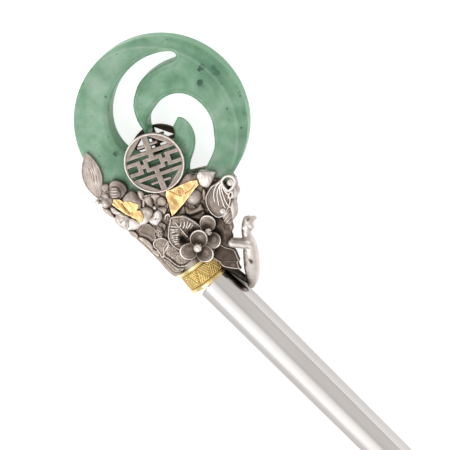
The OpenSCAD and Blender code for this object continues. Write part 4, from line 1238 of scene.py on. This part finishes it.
piece("grainy_stamens", "stamens", cast([form(
    [101, -103, 97, -97, 96, -89, 102, -85, 111, -87, 118, -94, 118, -102, 112, -106],
    0.3, 0.45, 0.9)], LOW_Z, step=0.07, tall=1.2, marks=grains), oxidised)
piece("curled_sprig", "sprig", joined([
    cast([form([97, -66, 92, -61, 92, -54, 96, -52, 102, -58, 105, -65, 102, -68], 0.25, 0.3, 0.5)], LOW_Z,
         step=0.08, tall=1.0),
    tube([(9.6, -6.7, 8.5), (9.2, -6.0, 8.75), (9.4, -5.4, 8.8), (9.9, -5.6, 8.75)], 0.2, 10, 5)]),
    oxidised)


# Gold leaf, thin foil laid over the silver and pressed onto its lumps

def foil_part(corners, heights, seed, extra):
    """Foil with a sharp outline in tenths, folded over a few heights and crinkled."""
    corners = tenths(corners)
    low, high = np.min(corners, 0) - 0.4, np.max(corners, 0) + 0.4
    edge = closed_area(corners, low, high, 0.05)

    def crease(x, y):
        weights = [1 / (0.25 + (x - a) ** 2 + (y - b) ** 2) ** 2 for a, b, _ in heights]
        level = sum(w * h[2] for w, h in zip(weights, heights)) / sum(weights)
        fold = np.abs(noise(x * 0.7 + 0.3 * y, y * 0.6, 0, seed))
        return level + 0.1 * fold + 0.008 * ripple(x, y, 5, seed + 2) + extra(x, y)
    top = sampled(crease, low, high, 0.06)

    def shape(x, y, z):
        torn = 0.03 * ripple(x, y, 3, seed + 5)
        return soft_max(edge(x, y) + torn, np.maximum(z - top(x, y), -0.12 - z), 0.07)
    points, faces = skin(shape, (*low, -0.3), (*high, 1.5), 0.08)
    return points + np.array([0, 0, HIGH_Z - 0.05]), faces


def right_emboss(x, y):
    ring = hill(np.hypot(x - 7.6, y + 0.2), 0.5, 0.14)
    body = np.exp(-(((x - 8.1) / 0.9) ** 2 + ((y + 3.0) / 0.6) ** 2) * 1.2)
    u, v = diagonals(x, y)
    facet = np.abs(((u + 0.5 * v) / 1.9) % 1 - 0.5)
    creases = line_mark(x, y, [62, -16, 72, -13, 84, -6], 0.12)
    creases = creases + line_mark(x, y, [86, 4, 89, 16, 87, 29], 0.1)
    return 0.2 * ring + 0.36 * body + 0.12 * facet - 0.14 * creases


GOLD_RIGHT = [59, -26, 56, -21, 61, -14, 63, -6, 67, 8, 72, 20, 75, 28, 83, 39, 93, 34, 93, 24, 95, 14,
              96, 7, 97, -1, 99, -13, 100, -24, 101, -35, 102, -45, 101, -51, 92, -46, 81, -39, 70, -33,
              64, -31]
piece("right_gold_foil", "gold_leaf_right",
      foil_part(GOLD_RIGHT, [ (8.2, 3.5, 0.3), (9.4, 1, 0.4), (7.6, -0.2, 0.5), (6, -2, 0.25),
                             (8.1, -3, 0.4), (10, -4.6, 0.1)], 51, right_emboss), gold_foil)


def left_emboss(x, y):
    wing = 0.035 * np.cos(2 * np.pi * (y + 0.12 * x) / 0.8) * unit((3.4 - x) / 1.5)
    fold = -0.22 * line_mark(x, y, [14, -107, 26, -110, 39, -110], 0.2)
    knot = 0.25 * line_mark(x, y, [40, -111, 41, -109], 0.28)
    lobe = 0.2 * np.exp(-((x - 5.8) ** 2 + (y + 10.1) ** 2) / 0.7)
    return wing + fold + knot + lobe


GOLD_LEFT = [-5, -113, 3, -105, 8, -103, 13, -103, 15, -97, 22, -91, 30, -87, 38, -83, 41, -88, 43, -92,
             43, -95, 46, -92, 50, -89, 54, -91, 61, -93, 64, -96, 66, -101, 69, -106, 66, -108, 59, -109,
             54, -109, 48, -112, 44, -113, 39, -115, 33, -117, 24, -119, 14, -121, 4, -123, 1, -123,
             -2, -117]
piece("left_gold_foil", "gold_leaf_left",
      foil_part(GOLD_LEFT, [ (0, -11.6, 0.0), (2.5, -11.6, 0.1), (2.6, -9.6, 0.2), (4, -11, 0.15),
                            (5.8, -10, 0.2)], 61, left_emboss), gold_foil)


# Filigree pod

pod_form = form([115, 79, 115, 71, 114, 61, 112, 51, 114, 41, 117, 32, 121, 25, 128, 19, 135, 15, 144, 12,
                 151, 11, 159, 12, 165, 14, 170, 19, 172, 25, 172, 30, 169, 42, 163, 54, 155, 63, 143, 68,
                 133, 68, 121, 73], 0.28, 0.12, 1.4, 0.27)
POD_WIRES = [
    [118, 69, 118, 61, 121, 52, 126, 45, 132, 39, 139, 35],
    [122, 66, 126, 56, 132, 48, 140, 42, 150, 35],
    [121, 68, 126, 62, 135, 54, 146, 48, 158, 42, 162, 41],
    [121, 70, 131, 62, 144, 55, 156, 50, 167, 48],
    [122, 70, 132, 66, 141, 64, 147, 64]]
POD_LOOP = [120, 73, 117, 81, 118, 88, 123, 94, 129, 96, 137, 93, 141, 86, 143, 77, 141, 70, 132, 69]
POD_RING = [151, 61, 147, 67, 147, 73, 151, 72, 155, 67, 155, 61]


def pod_marks(x, y):
    inner = -pod_form[0](x, y)
    return 0.1 * hill(inner, 0.56, 0.08) - 0.08 * hill(inner, 0.38, 0.09)


def tail_marks(x, y):
    u, v = diagonals(x, y)
    return 0.08 * np.cos(2 * np.pi * (0.75 * u - 0.66 * v) / 0.6)


def wires(lines, high, radius, sides, steps=5, closed=False):
    return [tube([(x, y, HIGH_Z + high) for x, y in tenths(line)], radius, sides, steps, closed)
            for line in lines]


pod_parts = [cast([pod_form], HIGH_Z, step=0.085, tall=1.0, floor=-0.2, marks=pod_marks)]
pod_parts += wires(POD_WIRES, 0.5, 0.15, 10)
pod_parts += wires([POD_LOOP], 0.55, 0.27, 14, 6, True)
pod_parts += wires([POD_RING], 0.5, 0.16, 10, 6, True)
pod_parts.append(ball_mesh((13.25, 8.55, HIGH_Z + 0.7), (0.7, 0.7, 0.68), 16, 26))
pod_parts.append(ball_mesh((16.3, 3.2, HIGH_Z + 0.62), (0.66, 0.66, 0.6), 16, 26))
pod_parts.append(cast([form([160, 39, 168, 45, 178, 41, 187, 33, 194, 25, 188, 17, 178, 18, 169, 26],
                            0.1, 0.35, 0.8)], HIGH_Z - 0.1, step=0.085, tall=1.0, floor=-0.6,
                            marks=tail_marks))
piece("filigree_wire_pod", "filigree_pod", joined(pod_parts), dark_satin)


# Patina and painted shade: how far each place stands proud of what is around it, darker where it lies lower

def blurred(grid, size):
    kernel = np.exp(-0.5 * (np.arange(-3 * size, 3 * size + 1) / size) ** 2)
    kernel /= kernel.sum()
    for axis in (0, 1):
        grid = np.apply_along_axis(lambda row: np.convolve(row, kernel, "same"), axis, grid)
    return grid


def edges_of(faces):
    pairs = []
    for f in faces:
        for k in range(f.shape[1]):
            pairs.append(np.stack([f[:, k], f[:, (k + 1) % f.shape[1]]], 1))
    return np.concatenate(pairs)


# The tops of all pieces on one grid in the plane, filled in a little and then blurred to two sizes, for
# painted shade
CELL = 0.11
GRID_LOW = np.array([-24.0, -17.0])
GRID_SHAPE = (540, 390)
top_grid = np.full(GRID_SHAPE, -1.0)
for _, points, _ in pieces.values():
    at = ((points[:, :2] - GRID_LOW) / CELL).astype(int)
    fits = (at >= 0).all(1) & (at < GRID_SHAPE).all(1)
    np.maximum.at(top_grid, tuple(at[fits].T), points[fits, 2])
for _ in range(2):
    spread = top_grid.copy()
    for move in ((1, 0), (-1, 0), (0, 1), (0, -1)):
        empty = top_grid < 0
        spread = np.maximum(spread, np.roll(top_grid, move, (0, 1)) * empty + spread * ~empty)
    top_grid = spread
known = (top_grid > 7).astype(float)
near_top, wide_top = (blurred(top_grid * known, size) / np.maximum(blurred(known, size), 0.05)
                      for size in (4, 12))


def normals_of(name):
    vertices = pieces[name][0].data.vertices
    normals = np.zeros(len(vertices) * 3)
    vertices.foreach_get("normal", normals)
    return normals.reshape(-1, 3)


def store(name, attribute_name, values):
    """Keeps a number from 0 to 1 at each point of a piece, for its material."""
    held = pieces[name][0].data.attributes.new(attribute_name, "FLOAT", "POINT")
    held.data.foreach_set("value", unit(values).astype(np.float32))


# Painted shade on the petals, darker towards a flower's middle, and a painted highlight on its bead's top:
# its place, the petals' reach, their shade inside and outside, and the bead's radius and height
PAINTED_FLOWER_SHADE = {
    "main_cupped_blossom": (18.1, -5.35, 3.75, -0.5, 0.44, 0.85, 10.9),
    "rear_cupped_blossom": (17.4, -1.9, 3.4, -0.46, 0.4, 0.7, 9.4),
    "small_domed_blossom": (6.5, -6.6, 2.4, -0.22, 0.1, 0.4, 8.3),
}
# How bright a piece is, then how far bends and height change that; the height term is painted shade, darker
# below the tops around
LEVELS = {
    "pierced_front_roundel": (0.44, 0.9, 0.0), "pierced_back_roundel": (0.16, 0.4, 0.0),
    "brushed_left_leaf": (0.54, 0.9, 0.15), "filigree_wire_pod": (0.4, 0.8, 0.2),
    "cast_setting": (0.56, 0.8, 0.5), "veined_right_leaf": (0.29, 0.5, 0.3),
    "dark_veined_leaf": (0.38, 0.4, 0.3), "veined_heart_leaf": (0.48, 0.7, 0.3),
    "grained_lower_leaf": (0.58, 0.7, 0.35), "smooth_broad_leaf": (0.48, 0.6, 0.4),
    "cast_twig": (0.56, 0.7, 0.1), "main_cupped_blossom": (0.64, 0.3, 0.1),
    "rear_cupped_blossom": (0.6, 0.3, 0.15), "left_domed_blossom": (0.72, 0.6, 0.35),
    "small_domed_blossom": (0.56, 0.8, 0.45), "pleated_small_leaf": (0.8, 0.6, 0.2),
    "slit_dome_bud": (0.66, 0.7, 0.4), "smooth_pod_leaves": (0.86, 0.6, 0.3),
    "right_gold_foil": (0.52, 1.2, 0.1), "left_gold_foil": (0.5, 1.2, 0.1),
    "cracked_bright_bud": (0.86, 0.6, 0.3), "curved_strips": (0.44, 0.8, 0.4),
    "ridged_bud": (0.44, 0.9, 0.4), "lumpy_left_buds": (0.68, 0.8, 0.35),
    "grainy_stamens": (0.5, 1.0, 0.5), "curled_sprig": (0.5, 1.0, 0.6),
    "middle_cupped_petal": (0.55, 0.7, 0.4)}
# Bright rims, bright raised marks, and spots of painted shade and light, darker or lighter: x, y, size,
# amount
RIMMED = {
    "veined_heart_leaf": [heart_form], "grained_lower_leaf": [lower_form],
    "veined_right_leaf": [right_form], "filigree_wire_pod": [pod_form], "cast_setting": EDGE_FORMS[3:4]}
MARKED = {
    "veined_heart_leaf": (heart_marks, 1.9), "ridged_bud": (bud_marks, 1.4),
    "cracked_bright_bud": (bright_marks, 0.6)}
PAINTED_LIGHT_AND_SHADE = {
    "cast_twig": [(24.6, -4.9, 1.2, -0.7), (25.8, -4.8, 1.2, -0.6), (27.0, -4.7, 1.2, -0.6),
                  (28.2, -4.7, 1.2, -0.6), (29.4, -4.6, 1.1, -0.6), (30.6, -4.5, 0.9, -0.4),
                  (21.7, 0.6, 0.55, -0.35), (22.3, 1.1, 0.55, -0.35), (22.9, 1.6, 0.55, -0.35),
                  (23.5, 2.1, 0.55, -0.35), (27.8, -0.2, 0.5, -0.35), (21.0, 5.8, 0.35, -0.35)],
    "filigree_wire_pod": [(17.8, 2.9, 1.3, 0.25), (16.8, 3.4, 0.9, 0.15)],
    "veined_heart_leaf": [(14.8, -6.7, 0.75, -0.35), (15.2, -7.1, 0.6, -0.25), (14.8, -4.2, 0.5, -0.25),
                          (14.7, -4.9, 0.5, -0.35), (15.2, -3.6, 0.5, -0.3), (15.4, -5.0, 0.5, -0.3)],
    "brushed_left_leaf": [(-5.2, -11.9, 0.9, 0.2), (-7.2, -10.6, 0.8, 0.2)],
    "left_domed_blossom": [(1.2, -8.0, 1.2, -0.3), (2.6, -7.8, 1.0, -0.25), (5.6, -7.8, 0.9, -0.2),
                           (5.8, -12.0, 1.2, 0.3), (6.6, -10.4, 0.8, 0.2)],
    "ridged_bud": [(-1.5, -8.2, 1.0, -0.15), (-0.4, -8.6, 0.9, -0.15)],
    "cast_setting": [(3.5, -8.5, 5.0, 0.16)],
    "lumpy_left_buds": [(-0.4, -12.4, 0.7, -0.25)],
    "curved_strips": [(14.0, -1.2, 1.0, -0.1)],
}


def give_wear_and_shade(name):
    base, bent, depth = LEVELS[name]
    _, points, faces = pieces[name]
    normals = normals_of(name)
    pairs = edges_of(faces)
    n = len(points)
    count = np.maximum(np.bincount(pairs[:, 0], minlength=n) + np.bincount(pairs[:, 1], minlength=n), 1)

    def averaged(values):
        out = np.bincount(pairs[:, 0], values[pairs[:, 1]], n)
        return (out + np.bincount(pairs[:, 1], values[pairs[:, 0]], n)) / count
    middle = np.stack([averaged(points[:, k]) for k in range(3)], 1)
    spacing = np.linalg.norm(points[pairs[:, 0]] - points[pairs[:, 1]], axis=1).mean()
    curve = ((points - middle) * normals).sum(1) / spacing ** 2
    for _ in range(4):
        curve = 0.5 * curve + 0.5 * averaged(curve)
    bends = bent * 0.3 * np.clip(curve * 0.7, -1, 1)
    x, y, z = points.T
    at = tuple(np.clip(((points[:, :2] - GRID_LOW) / CELL).astype(int), 0, np.array(GRID_SHAPE) - 1).T)
    # Painted shade: a place below the tops around it is darker, one above them lighter
    level = 0.5 * np.clip((z - near_top[at]) / 0.8, -1, 1) + 0.35 * np.clip((z - wide_top[at]) / 1.6, -1, 1)
    facing_up = unit(normals[:, 2] * 1.5 + 0.3)
    wear_and_shade = base + bends + depth * level * facing_up
    # Painted light and shade: faces turned towards -Y, the window light's side, are lighter and faces
    # turned away darker
    wear_and_shade = wear_and_shade - 0.15 * normals[:, 1] * (name != "cast_twig")
    for edge, _, _, _ in RIMMED.get(name, ()):
        shine = 0.3 if name == "veined_right_leaf" else 0.5
        wear_and_shade = wear_and_shade + shine * hill(-edge(x, y), 0.17, 0.15) * facing_up
    if name == "pierced_front_roundel":
        wear_and_shade = wear_and_shade + 0.35 * hill(DISC_R - np.hypot(x, y), 0.15, 0.16) * facing_up
    if name in MARKED:
        marks, gain = MARKED[name]
        wear_and_shade = wear_and_shade + gain * marks(x, y) * facing_up
    if name == "filigree_wire_pod":
        wear_and_shade = wear_and_shade + 0.4 * unit((z - HIGH_Z - 0.48) / 0.1)
    wear_and_shade = np.where(z > 7.3, wear_and_shade, base + 0.05 + bends)
    # Spots of painted shade and light: shadowed places darker, lit places lighter
    for place_x, place_y, size, amount in PAINTED_LIGHT_AND_SHADE.get(name, ()):
        wear_and_shade = wear_and_shade + amount * np.exp(-((x - place_x) ** 2 + (y - place_y) ** 2) / size ** 2)
    # Painted shade on the petals, darker towards the flower's middle, and a painted highlight on the top of
    # its bead
    if name in PAINTED_FLOWER_SHADE:
        middle_x, middle_y, reach, low, high, bead, bead_z = PAINTED_FLOWER_SHADE[name]
        out = np.hypot(x - middle_x, y - middle_y)
        share = unit(out / reach) ** 1.5
        shaded = np.minimum(wear_and_shade + low + (high - low) * share, 0.86)
        wear_and_shade = np.where((out < bead) & (z > bead_z), wear_and_shade + 0.35, shaded)
    store(name, "wear_and_shade", wear_and_shade)


def give_band_wear():
    _, points, _ = pieces["engraved_gold_band"]
    r = np.hypot(along_band(*points.T[:2])[1], points[:, 2] - BAND_R)
    store("engraved_gold_band", "wear_and_shade", 0.3 + (r - (BAND_R - 0.2)) / 0.2 * 0.62)


def give_tarnish_and_shade():
    """Tarnished metal with painted shadow and reflection under the twig, and softer painted shade on the
    far side.
    """
    x, y, z = pieces["polished_shaft"][1].T
    dark_tarnish_and_shade = window(x, 24.6, 32.0, 1.2) * unit((y + 6.7) / 0.6) * (z > 4.2)
    dark_tarnish_and_shade = np.maximum(dark_tarnish_and_shade, 0.5 * np.clip((y - ELBOW[1]) / BAND_R - 0.45, 0, 0.5) * 2)
    store("polished_shaft", "tarnish_and_shade", 0.95 * dark_tarnish_and_shade)


for name in LEVELS:
    give_wear_and_shade(name)
give_band_wear()
give_tarnish_and_shade()

# Dark flecks and milky clouds in the jade: x, y, size, strength
FLECKS = [
    (-20.6, 10.0, 0.35, 0.5), (-18.0, 6.8, 0.3, 0.45), (-16.1, 2.1, 0.35, 0.6), (-10.1, -3.5, 0.35, 0.55),
    (-6.9, -2.7, 0.3, 0.5), (-6.6, -4.8, 0.9, 0.6), (-6.6, -3.9, 0.5, 0.5), (-8.6, -7.6, 0.35, 0.5),
    (-10.1, 12.8, 0.3, 0.5), (-7.0, 20.4, 0.7, 1.0), (-7.0, 19.6, 0.55, 0.8), (-5.0, 17.9, 0.75, 1.0),
    (-4.1, 17.9, 0.4, 0.5), (-5.2, 22.0, 0.7, 0.8), (-4.1, 21.8, 0.65, 1.0), (-4.5, 21.0, 0.4, 0.5),
    (-1.9, 20.8, 0.35, 0.5), (2.4, 18.0, 0.35, 0.6), (2.5, 16.9, 0.25, 0.4), (-10.2, 6.2, 0.3, 0.45),
    (-9.2, 8.1, 0.2, 0.4), (-11.6, 6.5, 0.25, 0.4), (-11.2, 8.7, 0.25, 0.4), (-6.7, -6.7, 0.3, 0.45),
    (-6.2, -8.6, 0.3, 0.4), (-3.4, -8.1, 0.4, 0.45), (-4.6, -4.5, 0.3, 0.35), (2.4, 21.7, 0.35, 0.5),
    (7.2, 17.4, 0.35, 0.6), (-15.9, 18.4, 0.3, 0.4), (-7.0, 22.5, 0.6, 0.35), (-11.4, 21.6, 0.9, 0.3),
    (-11.8, 18.6, 0.5, 0.25)]
CLOUDS = [
    (-20.5, 7.5, 2.2, 0.35), (-19, 3.0, 2.4, 0.4), (10.4, 6.6, 2.4, 0.55), (7.6, 9.4, 1.6, 0.35),
    (1.5, 15.5, 2.0, 0.3), (8.8, 13.6, 1.6, 0.3), (-14.5, -0.5, 2.6, 0.2), (-17.6, 14.0, 1.8, 0.25),
    (-15.8, 5.2, 1.4, 0.25), (-11.0, 10.6, 1.4, 0.15)]
DEEPS = [
    (-5.0, 21.5, 3.4, 0.6), (-8.0, 21.0, 2.6, 0.35), (-4.2, 17.8, 1.6, 0.5), (-2.0, 21.0, 2.6, 0.3),
    (-13.0, 11.6, 1.6, 0.3), (-18.0, 7.0, 2.0, 0.2), (9.0, 17.0, 1.6, 0.3), (-5.0, -5.6, 2.4, 0.35),
    (3.0, 3.4, 3.0, 0.25), (-17.5, 10.0, 1.6, 0.15), (1.0, 20.5, 2.2, 0.15)]


def give_jade_marks():
    points = pieces["carved_jade_ring"][1]
    x, y, z = (points - np.array([*JADE_AT, JADE_Z])).T

    def spots(rows):
        best = np.zeros(len(points))
        for spot_x, spot_y, size, strength in rows:
            reach = (points[:, 0] - spot_x) ** 2 + (points[:, 1] - spot_y) ** 2
            best = np.maximum(best, strength * np.exp(-reach / size ** 2))
        return best
    # The stone looks deeper on its upright walls
    # Painted shade: the upright walls are tinted a deeper, flatter green by their slant
    slant = np.abs(normals_of("carved_jade_ring")[:, 2])
    store("carved_jade_ring", "wall", 0.75 * unit(1.15 - 1.6 * slant))
    # Painted shade as a dark line along the bevel beside the opening, and painted light and shade where the
    # back edge
    # shows through the stone as an arc: a light line with a darker band outside it
    on_front = z > JADE_T - 0.3
    beside = 0.34 * hill(leaning_swirl(x, y, z), 0.85, 0.22) * on_front
    arc = np.hypot(x, y + 2.9) - JADE_R
    arc_line = 0.3 * hill(arc, 0, 0.2) * on_front
    arc_band = 0.22 * hill(arc, 0.75, 0.5) * on_front
    for name, rows, more in (("mark", FLECKS, 0), ("cloud_and_painted_light", CLOUDS, arc_line),
                             ("deep", DEEPS, beside + arc_band)):
        store("carved_jade_ring", name, spots(rows) + more)


give_jade_marks()


# Floor, light and camera

def floor(half=3, low=-0.0002):
    mesh = bpy.data.meshes.new("floor")
    corners = [(-half, -half, low), (half, -half, low), (half, half, low), (-half, half, low)]
    mesh.from_pydata(corners, [], [(0, 1, 2, 3)])
    material, tree, shader = tree_of("pale_floor")
    fit(tree, shader, {"Base Color": (0.55, 0.55, 0.55, 1), "Roughness": 0.9, "Specular IOR Level": 0.0,
                       "Emission Color": (1, 1, 1, 1), "Emission Strength": 0.78})
    mesh.materials.append(material)
    thing = new_object("floor", mesh)


# The studio's light by the angle round the pin, in degrees: brightness, then its green and blue as shares
STUDIO = (
    (-100, 0.7, 1, 1), (-62, 0.76, 1, 1), (-52, 0.88, 1, 1), (-44, 1.08, 1, 1), (-34, 1.2, 1, 1),
    (-14, 1.22, 1, 1), (2, 1.08, 1, 1), (13, 0.84, 1, 1), (19, 0.7, 1, 1), (22, 0.5, 1.01, 1.03),
    (25, 0.7, 0.97, 0.95), (45, 0.73, 0.97, 0.95), (70, 0.86, 0.98, 0.97), (110, 0.85, 0.99, 0.98))


def studio():
    world = bpy.data.worlds.new("studio")
    bpy.context.scene.world = world
    world.use_nodes = True
    sky = world.node_tree
    sky.nodes.clear()
    way = add(sky, "ShaderNodeTexCoord").outputs["Generated"]
    parts = add(sky, "ShaderNodeSeparateXYZ", {0: way}).outputs
    share = remap(sky, combine(sky, "ARCTAN2", parts["Y"], parts["Z"]), 0, 1, -math.pi, math.pi)
    stops = [((angle + 180) / 360, level, level * green, level * blue)
             for angle, level, green, blue in STUDIO]
    backdrop = add(sky, "ShaderNodeBackground", {"Color": ramp(sky, share, stops), "Strength": 1.0})
    add(sky, "ShaderNodeOutputWorld", {"Surface": backdrop.outputs[0]})


floor()
studio()


def area_light(name, place, target, size, power):
    light = bpy.data.lights.new(name, "AREA")
    light.shape = "DISK"
    light.size = size
    light.energy = power
    thing = new_object(name, light)
    thing.location = place
    direction = Vector(target) - Vector(place)
    thing.rotation_euler = direction.to_track_quat("-Z", "Y").to_euler()


area_light("window_light", (0.05, -0.5, 0.85), (0.02, 0, 0), 0.3, 1.6)

# The camera: its direction, the picture's right, what it looks at, and how far off it is
BACK = Vector((-0.0915, 0.2777, 0.9563))
RIGHT = Vector((0.70419, 0.69705, -0.13506))
UP = BACK.cross(RIGHT)
TARGET = Vector((0.01932, -0.0004, 0.00291))
DISTANCE = 0.5
camera_data = bpy.data.cameras.new("camera")
camera_data.sensor_width = 36
camera_data.lens = 197.6
camera_data.clip_start = 0.01
camera_data.clip_end = 20
camera = new_object("camera", camera_data)
rotation = Matrix((RIGHT, UP, BACK)).transposed().to_4x4()
camera.matrix_world = Matrix.Translation(TARGET + BACK * DISTANCE) @ rotation
bpy.context.scene.camera = camera
bpy.context.scene.view_settings.view_transform = "Standard"
bpy.context.scene.view_settings.look = "None"
